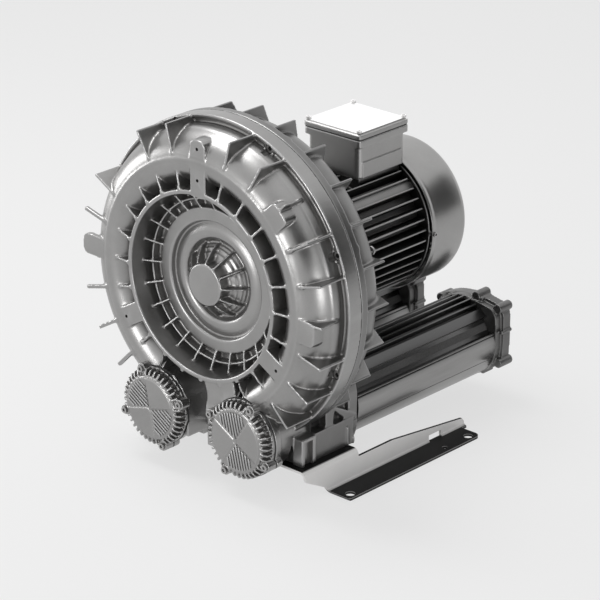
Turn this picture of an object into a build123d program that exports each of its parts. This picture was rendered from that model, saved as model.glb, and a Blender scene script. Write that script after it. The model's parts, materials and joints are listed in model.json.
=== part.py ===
from build123d import *
import math
import os

os.makedirs("parts", exist_ok=True)

# Side channel blower, in millimetres.
# Each piece is drawn about the shaft: x to the right, y up, z towards the viewer.
# Depths count back from the plane of the cover's rim towards the motor.

# Overall layout
shaft_height = 295.0
foot_depth = 230.0
foot_spacing = 400.0
foot_pitch = 264.0

# Clearances
running_gap = 1.0
bearing_gap = 0.05
fit_gap = 0.15
seat_gap = 0.3

# Side channel and impeller
channel_radius = 184.0
channel_half_width = 34.0
channel_height = 41.0
casting_wall = 7.0
crest_wall = 9.0
web_thickness = 10.5
impeller_radius = 217.5
impeller_half = 24.0
blade_count = 40
blade_thickness = 3.5
stripper_angle = 16.0
joint_depth = 75.0

# Cover face
rim_outer = 142.0
rim_inner = 135.0
valley_depth = 30.0
face_radius = 108.0
face_depth = 33.0
pocket_depth = 43.0
dish_radius = 84.0
dish_depth = 38.0
groove_radius = 60.0
groove_depth = 43.5
hub_radius = 52.0
hub_rib_radius = 57.0
hub_face_radius = 29.0
hub_face_depth = 11.0
hub_face_rim = 10.0
hub_shoulder_radius = 44.0
hub_shoulder_depth = 30.0
hub_shoulder_edge = 34.0
hub_side_depth = 36.0
crown_start = 64.0
crown_radius = 73.0
crown_rise = 2.2
dish_lip = 3.0
pocket_slope = 6.0
rim_draft = 2.0
rib_count = 24
rib_thickness = 4.0
slim_rib = 3.2
rib_fall = 0.62
crest_setback = 12.0
land_inner = 168.0
land_outer = 190.0
land_height = 0.6
rib_root = 1.0

# Flat pads on the cover
tab_width = 29.0
tab_top = 218.0
tab_corner = 11.0
bridge_width = 30.0
bridge_angles = (-30, 210)
plate_radius = 201.0
plate_size = 35.0
plate_corner = 9.0
plate_angles = (45, -3)
lug_radius = 212.0
lug_length = 44.0
lug_width = 32.0
lug_corner = 12.0
lug_angle = 178.0
pad_step = 0.5
pad_hole_depth = 8.0
pad_hole_spots = ((205, 90), (159, 90), (170, -30), (170, 210))

# Flange between the two halves
flange_radius = 239.0
flange_thickness = 14.0
flange_bolt_circle = 231.0
flange_bolt_angles = (-90, -22.5, 22.5, 67.5, 112.5, 157.5, 202.5)
gasket_thickness = 0.6

# Outer fins
fin_radius = 237.0
fin_root = 192.0
fin_rise = 200.0
fin_bite = 2.0
fin_thickness = 4.0
rear_fin_depth = 135.0
first_fin = -45.0
last_fin = 225.0

# Port boxes, their caps and the foot pads
port_x = 85.0
port_drop = 206.0
port_face_depth = 4.0
port_flange_thickness = 12.0
port_opening = 37.0
box_half_width = 60.0
box_bottom = 247.0
box_top = 150.0
box_wall = 7.0
cap_radius = 59.0
cap_boss_circle = 59.0
cap_boss_radius = 7.5
cap_height = 20.0
cap_plate = 5.0
cap_dome_radius = 49.0
cap_tooth = 2.6
cap_teeth_per_side = 9
cap_angle_left = 20.0
cap_angle_right = -25.0
ridge_count = 6
ridge_pitch = 6.4
ridge_width = 2.6
ridge_height = 1.8
port_gasket = 1.5
pad_inner = 118.0
pad_outer = 152.0
pad_height = 36.0
pad_front = 34.0
pad_back = 148.0

# Silencers
silencer_x = 85.0
silencer_drop = 199.0
silencer_front = 172.0
silencer_flange_front = 152.0
silencer_back = 488.0
silencer_end = 525.0
silencer_radius = 58.0
silencer_wall = 4.0
silencer_rib_radius = 64.0
silencer_flange_half = 62.0
silencer_corner = 18.0
silencer_bolt_circle = 53.0
screw_channel_radius = 6.0
silencer_bore = 45.0
end_flange_depth = 505.0
end_flange_back = 517.0
end_ear_offset = 54.0
foam_thickness = 14.0
pipe_radius = 36.1
pipe_collar_radius = 46.0

# Shaft line
bearing_bore = 15.0
bearing_outer = 31.0
bearing_width = 16.0
front_bearing_depth = 33.0
impeller_bore = 19.0
impeller_hub_radius = 36.0
shoulder_radius = 24.0
shaft_front = 32.0
fan_seat_radius = 12.0
shaft_back = 448.0
key_width = 10.0
key_height = 8.0
seal_radius = 36.0
seal_width = 10.0
seal_land = 2.0
ball_count = 9
ball_radius = 4.7
spring_room = 2.4

# Motor
adapter_radius = 112.0
adapter_wall = 9.0
motor_flange_depth = 206.0
motor_flange_thickness = 15.0
motor_flange_radius = 125.0
motor_bolt_circle = 115.5
frame_back = 379.0
frame_radius = 85.0
frame_bore = 78.0
frame_fin_radius = 105.0
frame_fin_count = 40
frame_fin_thickness = 2.6
core_front = 256.0
core_back = 362.0
rotor_radius = 48.0
air_gap = 0.6
slot_depth = 22.0
winding_length = 18.0
end_shield_back = 402.0
fan_front = 412.0
fan_back = 440.0
fan_radius = 92.0
fan_blades = 8
fan_cover_radius = 111.0
fan_cover_wall = 2.0
fan_cover_back = 462.0
fan_cover_corner = 14.0

# Terminal box
box_front = 286.0
box_length = 90.0
box_width = 98.0
box_height = 157.0
lid_size = 110.0
lid_thickness = 13.0
lid_front = 278.0
terminal_wall = 4.0
pad_top = 97.0
gland_radius = 10.0
gland_height = 26.0
gland_pitch = 44.0
plug_head = 6.0

# Foot brackets
sheet = 4.0
web_outer = 170.0
foot_edge = 211.0
foot_start = 80.0
foot_end = 378.0
foot_hole = 7.5
bracket_slot = 4.5

# Screws, by the radius of the shank
m8 = 4.0
m6 = 3.0
m5 = 2.5
head_ratio = 1.65
hole_allowance = 0.5

shaft_frame = Plane(
    origin=(0, -foot_depth, shaft_height), x_dir=(1, 0, 0), z_dir=(0, -1, 0)
).location
sides = (("left", -1), ("right", 1))


def disc(radius, near, far):
    """Cylinder on the shaft axis between two depths."""
    return Pos(0, 0, -far) * extrude(Circle(radius), far - near)


def tube(outer, inner, near, far):
    """Ring on the shaft axis between two depths."""
    return Pos(0, 0, -far) * extrude(Circle(outer) - Circle(inner), far - near)


def prism(sketch, near, far):
    """Sketch seen from the front, given the span of two depths."""
    return Pos(0, 0, -far) * extrude(sketch, far - near)


def turned(points):
    """Solid of revolution about the shaft from pairs of radius and depth."""
    outline = make_face(Polyline([(radius, -depth) for radius, depth in points], close=True))
    return revolve(Plane.XZ * outline, Axis.Z)


def radial_plate(points, thickness, angle):
    """Plate that stands along a radius, from pairs of radius and depth."""
    outline = make_face(Polyline([(radius, -depth) for radius, depth in points], close=True))
    plate = extrude(Plane.XZ * outline, thickness / 2, both=True)
    return Rot(0, 0, angle) * plate


def polar(radius, angle):
    """Point on a circle about the shaft, seen from the front."""
    turn = math.radians(angle)
    return radius * math.cos(turn), radius * math.sin(turn)


def screw(shank, length, head):
    """Socket head screw along z: its head rests on z = 0 and its shank goes down."""
    body = Pos(0, 0, -length) * extrude(Circle(shank - hole_allowance / 2), length)
    cap = extrude(Circle(shank * head_ratio), head)
    socket = Pos(0, 0, head * 0.5) * extrude(RegularPolygon(shank * 0.9, 6), head)
    return body + cap - socket


def save(shape, node):
    """Write one node in the frame of the whole blower."""
    export_step(shaft_frame * shape, f"parts/{node}.step")


def group(solids):
    """Separate solids that share one node."""
    return Compound(children=[solid for shape in solids for solid in shape.solids()])


def toroid(half_width, height, mid_depth):
    """Ring of elliptical section about the shaft."""
    section = Pos(channel_radius, -mid_depth) * Ellipse(half_width, height)
    return revolve(Plane.XZ * section, Axis.Z)


def channel_cut(mid_depth):
    """Side channel, stopped at the bottom by the stripper between the ports."""
    reach = flange_radius * 2
    spread = reach * math.tan(math.radians(stripper_angle / 2))
    wedge = make_face(Polyline([(0, 0), (-spread, -reach), (spread, -reach)], close=True))
    stripper = prism(wedge, mid_depth - channel_height * 2, mid_depth + channel_height * 2)
    return toroid(channel_half_width, channel_height, mid_depth) - stripper


cover_inside = joint_depth - impeller_half - running_gap
housing_inside = joint_depth + impeller_half + running_gap
crest_height = channel_height + crest_wall
shell_half_width = channel_half_width + casting_wall
shell_radius = channel_radius + shell_half_width
shell_inner = channel_radius - shell_half_width
impeller_chamber = impeller_radius + running_gap
rear_crest = housing_inside + crest_height
front_flange = joint_depth - flange_thickness
rear_flange = joint_depth + flange_thickness
seal_front = housing_inside + seal_land
seal_back = seal_front + seal_width
rear_bearing_depth = end_shield_back - bearing_width - spring_room
cap_front = port_face_depth - port_gasket - cap_height


def cap_outline(angle):
    """Round plate with four screw ears, shared by the cap, its gasket and its seat."""
    ears = PolarLocations(cap_boss_circle, 4, angle) * Circle(cap_boss_radius)
    return Circle(cap_radius) + ears


def at_port(side):
    return Pos(side * port_x, -port_drop, 0)


def at_silencer(side):
    return Pos(side * silencer_x, -silencer_drop, 0)


def cap_angle(side):
    return cap_angle_left if side < 0 else cap_angle_right


def box_block(side, near, far):
    """Outside of one port box, merged with the foot pad beside it."""
    height = box_bottom - box_top
    wall = Pos(side * port_x, -(box_bottom + box_top) / 2) * Rectangle(box_half_width * 2, height)
    return prism(wall, near, far)


def pad_block(side, near, far):
    width = pad_outer - pad_inner
    pad = Pos(side * (pad_inner + width / 2), pad_height / 2 - box_bottom) * Rectangle(width, pad_height)
    return prism(pad, near, far)


def box_cavity(side, near, far):
    """Air space of one port box, kept clear of the impeller's chamber."""
    height = box_bottom - box_top - box_wall
    half = box_half_width - box_wall
    middle = -(box_bottom - box_wall + box_top) / 2
    space = Pos(side * port_x, middle) * RectangleRounded(half * 2, height, casting_wall)
    return prism(space, near, far) - disc(shell_radius, cover_inside, housing_inside)


def turned_shell(inner, swell, outer):
    """Solid of revolution whose outline swells round the side channel."""
    first = Polyline([(radius, -depth) for radius, depth in inner] + [swell @ 0])
    last = Polyline([swell @ 1] + [(radius, -depth) for radius, depth in outer])
    closing = Line(last @ 1, first @ 0)
    return revolve(Plane.XZ * make_face(first + swell + last + closing), Axis.Z)


def cover_body():
    """Turned body of the cover: hub, dish, flat face, pocket ring, rim, channel and flange."""
    inner = [
        (0, joint_depth),
        (0, hub_face_depth),
        (hub_face_radius, hub_face_depth),
        (hub_face_radius, hub_face_depth + hub_face_rim),
        (hub_shoulder_radius, hub_shoulder_depth),
        (hub_shoulder_radius, hub_shoulder_edge),
        (hub_radius, hub_side_depth),
        (hub_radius, groove_depth),
        (groove_radius, groove_depth),
        (crown_start, dish_depth + crown_rise),
        ((crown_start + crown_radius) / 2, dish_depth + crown_rise / 4),
        (crown_radius, dish_depth),
        (dish_radius, dish_depth),
        (dish_radius + dish_lip, face_depth),
        (face_radius, face_depth),
        (face_radius, pocket_depth),
        (rim_inner - pocket_slope, pocket_depth),
        (rim_inner, 0),
        (rim_outer, 0),
        (rim_outer + rim_draft, valley_depth),
    ]
    start = 180 - math.degrees(math.asin((cover_inside - valley_depth) / crest_height))
    swell = EllipticalCenterArc(
        (channel_radius, -cover_inside),
        shell_half_width,
        crest_height,
        start_angle=start,
        arc_size=-start,
    )
    outer = [
        (shell_radius, front_flange),
        (flange_radius, front_flange),
        (flange_radius, joint_depth),
    ]
    return turned_shell(inner, swell, outer)


def housing_body():
    """Turned body of the rear half: flange, channel, web round the shaft and motor neck."""
    web_end = housing_inside + web_thickness
    start = -180 + math.degrees(math.asin((web_end - housing_inside) / crest_height))
    swell = EllipticalCenterArc(
        (channel_radius, -housing_inside),
        shell_half_width,
        crest_height,
        start_angle=start,
        arc_size=-start,
    )
    inner = [
        (0, joint_depth),
        (0, seal_back + seal_land),
        (seal_radius + casting_wall, seal_back + seal_land),
        (seal_radius + casting_wall, web_end),
        (adapter_radius - adapter_wall, web_end),
        (adapter_radius - adapter_wall, motor_flange_depth),
        (adapter_radius, motor_flange_depth),
        (adapter_radius, web_end),
    ]
    outer = [
        (shell_radius, rear_flange),
        (flange_radius, rear_flange),
        (flange_radius, joint_depth),
    ]
    return turned_shell(inner, swell, outer)


def outside_channel(plates, mid_depth):
    """Plates trimmed inside the casting wall, so that none reaches into the channel."""
    half_width = channel_half_width + casting_wall / 2
    core = toroid(half_width, channel_height + crest_wall / 2, mid_depth)
    return [plate - core for plate in plates]


def rib_angles():
    return [index * 360 / rib_count for index in range(rib_count)]


def fin_angles():
    step = 360 / rib_count
    count = round((last_fin - first_fin) / step) + 1
    return [first_fin + index * step for index in range(count)]


def cover_ribs():
    """Thin ribs of the pocket ring and of the valley between rim and channel."""
    inner = [
        (face_radius - rib_root, face_depth),
        (rim_inner - rib_root, face_depth * rib_fall),
        (rim_inner - rib_root, pocket_depth + rib_root),
        (face_radius - rib_root, pocket_depth + rib_root),
    ]
    valley = [
        (rim_outer - rib_root, pad_step),
        (channel_radius - crest_setback, fin_thickness),
        (channel_radius - crest_setback, valley_depth * rib_fall),
        (shell_inner + rib_thickness, valley_depth + rib_thickness),
        (rim_outer - rib_root, valley_depth + rib_thickness),
    ]
    plates = [radial_plate(inner, slim_rib, angle) for angle in rib_angles()]
    plates += [radial_plate(valley, rib_thickness, angle) for angle in rib_angles()]
    middle = (face_radius + rim_inner) / 2
    hoop_front = face_depth - rib_thickness
    hoop = tube(middle + slim_rib / 2, middle - slim_rib / 2, hoop_front, pocket_depth + rib_root)
    return plates + [hoop]


def hub_ribs():
    """Short ribs from the hub's flat face down to its shoulder."""
    outline = [
        (hub_face_radius - rib_root, hub_face_depth + rib_root),
        (hub_face_radius + rib_thickness, hub_face_depth + slim_rib),
        (hub_rib_radius, hub_shoulder_depth + rib_root),
        (hub_rib_radius, groove_depth + rib_root),
        (hub_radius - rib_root * 2, groove_depth + rib_root),
        (hub_shoulder_radius - rib_root * 2, hub_shoulder_depth + rib_root * 2),
        (bearing_outer + rib_root * 2, hub_face_depth + hub_face_rim + rib_thickness),
        (hub_face_radius - rib_root, hub_face_depth + hub_face_rim - rib_root * 2),
    ]
    return [radial_plate(outline, slim_rib, angle) for angle in rib_angles()[::2]]


def cover_fins():
    outline = [
        (fin_root, fin_thickness),
        (fin_rise, 0),
        (fin_radius, 0),
        (fin_radius, front_flange + fin_bite),
        (fin_root, front_flange + fin_bite),
    ]
    return [radial_plate(outline, fin_thickness, angle) for angle in fin_angles()]


def housing_fins():
    outline = [
        (fin_root, rear_flange - fin_bite),
        (fin_radius, rear_flange - fin_bite),
        (fin_radius, rear_fin_depth),
        ((fin_rise + fin_radius) / 2 - fin_thickness * 3, rear_crest - fin_bite),
        (fin_root, rear_crest - fin_thickness),
    ]
    return [radial_plate(outline, fin_thickness, angle) for angle in fin_angles()]


def face_pads():
    """Flat pads level with the rim: one tall tab, two bridges, two round-cornered plates and a lug."""
    inner = rim_outer - rib_thickness
    tab = Pos(0, (inner + tab_top) / 2) * RectangleRounded(tab_width, tab_top - inner, tab_corner)
    pads = [prism(tab, 0, channel_height / 2)]
    bridge = Pos((inner + land_outer) / 2, 0) * Rectangle(land_outer - inner, bridge_width)
    for angle in bridge_angles:
        pads.append(Rot(0, 0, angle) * prism(bridge, 0, channel_height / 2))
    plate = Pos(plate_radius, 0) * RectangleRounded(plate_size, plate_size, plate_corner)
    for angle in plate_angles:
        pads.append(Rot(0, 0, angle) * prism(plate, pad_step, channel_height * 0.8))
    lug = Pos(lug_radius, 0) * RectangleRounded(lug_length, lug_width, lug_corner)
    pads.append(Rot(0, 0, lug_angle) * prism(lug, pad_step, rib_thickness * 2))
    return pads


def pad_holes():
    """Blind tapped holes of the face pads."""
    drill = prism(Circle(m5), -rib_root, pad_hole_depth)
    return [Pos(*polar(radius, angle)) * drill for radius, angle in pad_hole_spots]


def flange_holes(near, far, radius):
    holes = []
    for angle in flange_bolt_angles:
        holes.append(Pos(*polar(flange_bolt_circle, angle)) * prism(Circle(radius), near, far))
    return holes


def cap_screw_holes(side, depth):
    holes = PolarLocations(cap_boss_circle, 4, cap_angle(side)) * Circle(m6)
    return at_port(side) * prism(Sketch() + holes, port_face_depth - 1, depth)


def foot_screw_spots(side):
    middle = side * (pad_inner + pad_outer) / 2
    return [(middle, pad_front + 24), (middle, pad_back - 24)]


def upright_hole(x, depth, low, high, radius):
    """Round hole along the vertical, seen in the drawing frame."""
    bar = Pos(x, low, -depth) * (Rot(-90, 0, 0) * extrude(Circle(radius), high - low))
    return bar


def foot_screw_holes(side):
    top = pad_height * 0.7 - box_bottom
    return [upright_hole(x, depth, -box_bottom - 1, top, m8) for x, depth in foot_screw_spots(side)]


def cover_ports():
    """Port boxes, foot pads, round necks and cap seats of the cover."""
    seat_end = port_face_depth + port_flange_thickness
    below = cap_radius
    floor_line = port_drop - box_bottom
    neck = Circle(cap_radius - 4) - Pos(0, floor_line - below / 2) * Rectangle(below * 2, below)
    blocks = []
    for _, side in sides:
        blocks.append(box_block(side, pad_front, joint_depth))
        blocks.append(pad_block(side, pad_front, joint_depth))
        blocks.append(at_port(side) * prism(neck, port_face_depth, joint_depth))
        blocks.append(at_port(side) * prism(cap_outline(cap_angle(side)), port_face_depth, seat_end))
    return blocks


def cap_rooms():
    """Clear space in front of the two cap seats."""
    room = Circle(cap_radius + cap_boss_radius * 1.4)
    return [at_port(side) * prism(room, cap_front - 10, port_face_depth) for _, side in sides]


def front_cover():
    """Front half of the casing with its hub, ribs, fins and port seats."""
    land = tube(land_outer, land_inner, -land_height, crest_wall / 2)
    rooms = cap_rooms()
    cover = cover_body() + land - rooms
    cover += cover_ports()
    cover -= disc(impeller_chamber, cover_inside, joint_depth + 1)
    cover -= channel_cut(cover_inside)
    cover -= disc(bearing_outer, front_bearing_depth, cover_inside + 1)
    cover -= disc(bearing_outer - 8, hub_face_depth + casting_wall, cover_inside)
    for _, side in sides:
        cover -= box_cavity(side, pad_front + box_wall, joint_depth + 1)
        cover -= at_port(side) * prism(Circle(port_opening), port_face_depth - 1, joint_depth * 0.8)
        cover -= cap_screw_holes(side, port_face_depth + port_flange_thickness)
    plates = outside_channel(cover_ribs() + cover_fins() + face_pads(), cover_inside)
    cover += [plate - rooms for plate in plates] + hub_ribs()
    cover -= pad_holes() + flange_holes(front_flange - 1, joint_depth + 1, m8 + hole_allowance)
    cover -= flange_holes(cover_inside, front_flange, m8 * head_ratio + hole_allowance)
    for _, side in sides:
        cover -= foot_screw_holes(side)
    return cover


def silencer_seat(side):
    """Flange of the port box that the silencer is bolted to."""
    outline = RectangleRounded(silencer_flange_half * 2, silencer_flange_half * 2, silencer_corner)
    return at_silencer(side) * prism(outline, silencer_flange_front, silencer_front)


def bolt_ring(radius):
    """Four round outlines on the diagonals of a silencer."""
    return Sketch() + PolarLocations(silencer_bolt_circle, 4, 45) * Circle(radius)


def rear_housing():
    """Rear half of the casing with its port boxes, foot pads and motor neck."""
    housing = housing_body()
    for _, side in sides:
        housing += box_block(side, joint_depth, silencer_flange_front)
        housing += pad_block(side, joint_depth, pad_back)
        housing += silencer_seat(side)
    housing -= disc(impeller_chamber, joint_depth - 1, housing_inside)
    housing -= channel_cut(housing_inside)
    housing -= disc(seal_radius, seal_front, motor_flange_depth)
    housing -= disc(shoulder_radius + seat_gap * 3, housing_inside - 1, seal_front + 1)
    for _, side in sides:
        housing -= box_cavity(side, joint_depth - 1, silencer_flange_front)
        bore = prism(Circle(silencer_bore), silencer_flange_front - 8, silencer_front)
        housing -= at_silencer(side) * bore
        housing -= at_silencer(side) * prism(bolt_ring(m6), silencer_flange_front + 4, silencer_front)
    housing += outside_channel(housing_fins(), housing_inside)
    housing -= flange_holes(joint_depth - 1, rear_flange + 1, m8)
    housing -= motor_bolt_holes(motor_flange_depth - 22, motor_flange_depth, m8)
    for _, side in sides:
        housing -= foot_screw_holes(side)
    return housing


def motor_bolt_holes(near, far, radius):
    spots = PolarLocations(motor_bolt_circle, 4, 45) * Circle(radius)
    return prism(Sketch() + spots, near, far)


def port_cap(side):
    """Finned cap: plate with ears, domed middle, teeth round it and ridges on its face."""
    seat = port_face_depth - port_gasket
    cap = prism(cap_outline(0), seat - cap_plate, seat)
    cap += prism(Circle(cap_dome_radius), cap_front, seat - cap_plate)
    ears = PolarLocations(cap_boss_circle, 4) * Circle(cap_boss_radius)
    cap += prism(Sketch() + ears, cap_front + 4, seat - cap_plate)
    tooth = [
        (cap_dome_radius - 2, cap_front),
        (cap_radius - 1, cap_front + 2),
        (cap_radius, seat - cap_plate + 0.5),
        (cap_dome_radius - 2, seat - cap_plate + 0.5),
    ]
    step = 90 / (cap_teeth_per_side + 1)
    for quarter in range(4):
        for index in range(1, cap_teeth_per_side + 1):
            cap += radial_plate(tooth, cap_tooth, quarter * 90 + index * step)
    cap += face_ridges()
    holes = PolarLocations(cap_boss_circle, 4) * Circle(m6 + hole_allowance)
    cap -= prism(Sketch() + holes, cap_front - 1, seat + 1)
    cap -= prism(Circle(cap_dome_radius - 6), cap_front + 7, seat + 1)
    return at_port(side) * (Rot(0, 0, cap_angle(side)) * cap)


def face_ridges():
    """Two groups of parallel ridges in opposite quarters of the cap's face."""
    reach = cap_dome_radius - 5
    ridges = []
    for index in range(ridge_count):
        offset = (index - (ridge_count - 1) / 2) * ridge_pitch
        outer = math.sqrt(reach**2 - offset**2)
        start = 9 + abs(offset) * 0.45
        bar = Pos((start + outer) / 2, offset) * SlotOverall(outer - start, ridge_width)
        for turn in (-52, 128):
            ridges.append(Rot(0, 0, turn) * prism(bar, cap_front - ridge_height, cap_front + 0.5))
    return ridges


def port_gasket_ring(side):
    holes = PolarLocations(cap_boss_circle, 4) * Circle(m6 + hole_allowance)
    sheet_outline = cap_outline(0) - holes - Circle(cap_dome_radius - 5)
    ring = prism(sheet_outline, port_face_depth - port_gasket, port_face_depth)
    return at_port(side) * (Rot(0, 0, cap_angle(side)) * ring)


def cap_screws():
    head_seat = cap_front + 4
    length = port_face_depth + port_flange_thickness - head_seat - 2
    solids = []
    for _, side in sides:
        for index in range(4):
            spot = polar(cap_boss_circle, cap_angle(side) + index * 90)
            solids.append(at_port(side) * (Pos(*spot, -head_seat) * screw(m6, length, m6)))
    return group(solids)


def flange_bolts():
    length = rear_flange - front_flange - 2
    bolt = screw(m8, length, m8 * 2)
    return group([Pos(*polar(flange_bolt_circle, a), -front_flange) * bolt for a in flange_bolt_angles])


def wedge(start, end):
    """Pie slice wide enough to cut a silencer outline between two angles."""
    reach = silencer_rib_radius * 2
    middle = (start + end) / 2
    points = [(0, 0)] + [polar(reach, angle) for angle in (start, middle, end)]
    return make_face(Polyline(points, close=True))


def silencer_section():
    """Extruded outline: finned top, flat strips, deep grooves and smooth flanks."""
    outline = Circle(silencer_radius)
    reach = silencer_rib_radius - silencer_radius
    for angle in range(66, 126, 12):
        rib = Pos(silencer_radius + reach / 2 - 2, 0) * Rectangle(reach + 4, 3)
        outline += Rot(0, 0, angle) * rib
    for angle in (50, 130):
        outline += Rot(0, 0, angle) * (Pos(silencer_radius, 0) * Rectangle(reach * 1.6, 15))
    flank = Circle(silencer_rib_radius - 0.5)
    outline += flank & wedge(-52, 14)
    outline += flank & wedge(166, 232)
    outline += Circle(silencer_radius + 3) & wedge(236, 304)
    return outline


def silencer_tube(side):
    section = silencer_section() - Circle(silencer_radius - silencer_wall)
    section += bolt_ring(screw_channel_radius) & Circle(silencer_radius)
    section -= bolt_ring(m6 + hole_allowance)
    return at_silencer(side) * prism(section, silencer_front + port_gasket, silencer_back)


def silencer_gasket(side):
    outline = Circle(silencer_radius) - Circle(silencer_bore) - bolt_ring(m6 + hole_allowance)
    return at_silencer(side) * prism(outline, silencer_front, silencer_front + port_gasket)


def silencer_foam(side):
    outer = silencer_radius - silencer_wall - seat_gap
    section = Circle(outer) - Circle(outer - foam_thickness) - bolt_ring(screw_channel_radius + seat_gap)
    return at_silencer(side) * prism(section, silencer_front + 12, silencer_back - 4)


def silencer_end_casting(side):
    """End casting: round body, square flange with four tapped ears and the pipe port."""
    half = silencer_flange_half
    flange = RectangleRounded(half * 2, half * 2, silencer_corner)
    collar_radius = silencer_flange_half - 1
    body = [
        (0, silencer_back),
        (silencer_rib_radius, silencer_back),
        (collar_radius, end_flange_depth + 2),
        (0, end_flange_depth + 2),
    ]
    collar = [
        (0, end_flange_depth),
        (collar_radius, end_flange_depth),
        (collar_radius, end_flange_back + 2),
        (silencer_bolt_circle + 7, end_flange_back + 2),
        (silencer_bolt_circle + 7, end_flange_back),
        (pipe_collar_radius, end_flange_back),
        (pipe_collar_radius, silencer_end),
        (0, silencer_end),
    ]
    ears = Sketch() + GridLocations(end_ear_offset * 2, end_ear_offset * 2, 2, 2) * Circle(8.5)
    holes = Sketch() + GridLocations(end_ear_offset * 2, end_ear_offset * 2, 2, 2) * Circle(m8)
    casting = turned(body) + turned(collar) + prism(flange, end_flange_depth, end_flange_back)
    casting += prism(ears, end_flange_depth - 4, end_flange_back + 3)
    casting -= disc(pipe_radius, silencer_back - 1, silencer_end + 1)
    casting -= disc(silencer_bore, silencer_back - 1, silencer_back + 8)
    casting -= prism(holes, end_flange_depth + 2, end_flange_back + 4)
    casting -= prism(bolt_ring(m6 + hole_allowance), silencer_back - 1, end_flange_back + 1)
    return at_silencer(side) * casting


def silencer_bolts():
    """Long bolts that clamp the end casting and the tube to the port box."""
    bolt = Rot(180, 0, 0) * screw(m6, end_flange_back - silencer_flange_front - 6, m6 * 2)
    solids = []
    for _, side in sides:
        for index in range(4):
            spot = polar(silencer_bolt_circle, 45 + index * 90)
            solids.append(at_silencer(side) * (Pos(*spot, -end_flange_back) * bolt))
    return group(solids)


def pipe_screens():
    """Guard screens seated in the end castings ahead of the pipe ports."""
    radius = silencer_bore - seat_gap
    mesh = Sketch()
    for step in range(-3, 4):
        mesh += Pos(step * 11, 0) * Rectangle(2, radius * 2)
        mesh += Pos(0, step * 11) * Rectangle(radius * 2, 2)
    screen = (Circle(radius) - Circle(radius - 4)) + (mesh & Circle(radius - 1))
    near = silencer_back + 5
    return group([at_silencer(side) * prism(screen, near, near + 2.7) for _, side in sides])


def impeller():
    """Double-sided blade wheel: hub, web, sealing land and two rows of blades."""
    front = joint_depth - impeller_half
    back = joint_depth + impeller_half
    root = channel_radius - channel_half_width
    core = [
        (impeller_bore + bearing_gap / 2, front + 1),
        (impeller_hub_radius, front + 1),
        (impeller_hub_radius + 8, joint_depth - 6),
        (root - 34, joint_depth - 6),
        (root - 24, front),
        (root, front),
        (root + 24, joint_depth - 7),
        (impeller_radius, joint_depth - 2.5),
    ]
    rear = [(radius, 2 * joint_depth - depth) for radius, depth in reversed(core)]
    wheel = turned(core + rear)
    blade = [
        (root - 4, front),
        (impeller_radius, front),
        (impeller_radius, back),
        (root - 4, back),
    ]
    for index in range(blade_count):
        wheel += radial_plate(blade, blade_thickness, index * 360 / blade_count)
    keyway = Pos(0, impeller_bore) * Rectangle(key_width + fit_gap, key_height)
    return wheel - prism(keyway, front, back)


def shaft():
    """Stepped shaft from the outboard bearing through the impeller and rotor to the fan."""
    impeller_back = joint_depth + impeller_half - 1
    shoulder_back = core_front - 8
    profile = [
        (0, shaft_front),
        (bearing_bore, shaft_front),
        (bearing_bore, front_bearing_depth + bearing_width + 2),
        (impeller_bore, front_bearing_depth + bearing_width + 2),
        (impeller_bore, impeller_back),
        (shoulder_radius, impeller_back),
        (shoulder_radius, shoulder_back),
        (shoulder_radius + 3, shoulder_back),
        (shoulder_radius + 3, core_front),
        (shoulder_radius, core_front),
        (shoulder_radius, rear_bearing_depth),
        (bearing_bore, rear_bearing_depth),
        (bearing_bore, end_shield_back + 3),
        (fan_seat_radius, end_shield_back + 3),
        (fan_seat_radius, shaft_back),
        (0, shaft_back),
    ]
    blank = turned(profile)
    keyway = Pos(0, impeller_bore) * Rectangle(key_width, key_height)
    blank -= prism(keyway, front_bearing_depth + bearing_width + 8, impeller_back - 6)
    return blank - disc(m8, shaft_front - 1, shaft_front + 20)


def impeller_key():
    keyway = Pos(0, impeller_bore) * Rectangle(key_width - fit_gap, key_height - fit_gap)
    return prism(keyway, front_bearing_depth + bearing_width + 8, joint_depth + impeller_half - 7)


def impeller_spacer():
    near = front_bearing_depth + bearing_width
    return tube(bearing_bore + 7, bearing_bore + fit_gap, near, near + 2)


def end_washer():
    return tube(bearing_bore + 5, m8 + hole_allowance, shaft_front - 3, shaft_front)


def end_bolt():
    return Pos(0, 0, -(shaft_front - 3)) * screw(m8, 20, m8 * 1.5)


def bearing_inner(near):
    groove = bearing_groove(near)
    race = tube(bearing_bore + 5, bearing_bore + fit_gap / 3, near, near + bearing_width)
    return race - groove


def bearing_groove(near):
    """Round track that the balls run in, cut from both rings."""
    middle = (bearing_bore + bearing_outer) / 2
    track = Pos(middle, -(near + bearing_width / 2)) * Circle(ball_radius + fit_gap)
    return revolve(Plane.XZ * track, Axis.Z)


def bearing_outer_ring(near):
    ring = tube(bearing_outer - fit_gap / 3, bearing_outer - 5, near, near + bearing_width)
    return ring - bearing_groove(near)


def spheres(near, radius):
    """Ring of spheres on the pitch circle of a bearing."""
    middle = (bearing_bore + bearing_outer) / 2
    centre = near + bearing_width / 2
    spots = [polar(middle, index * 360 / ball_count) for index in range(ball_count)]
    return [Pos(*spot, -centre) * Sphere(radius) for spot in spots]


def bearing_balls(near):
    return group(spheres(near, ball_radius))


def bearing_cage(near):
    """Thin ring with a pocket for each ball."""
    middle = (bearing_bore + bearing_outer) / 2
    margin = (bearing_width / 2 - ball_radius) / 2
    ring = tube(middle + 0.8, middle - 0.8, near + margin, near + bearing_width - margin)
    pocket = Rot(0, 90, 0) * extrude(Circle(ball_radius + fit_gap), middle + ball_radius)
    pocket = Pos(0, 0, -(near + bearing_width / 2)) * pocket
    return ring - [Rot(0, 0, index * 360 / ball_count) * pocket for index in range(ball_count)]


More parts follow.
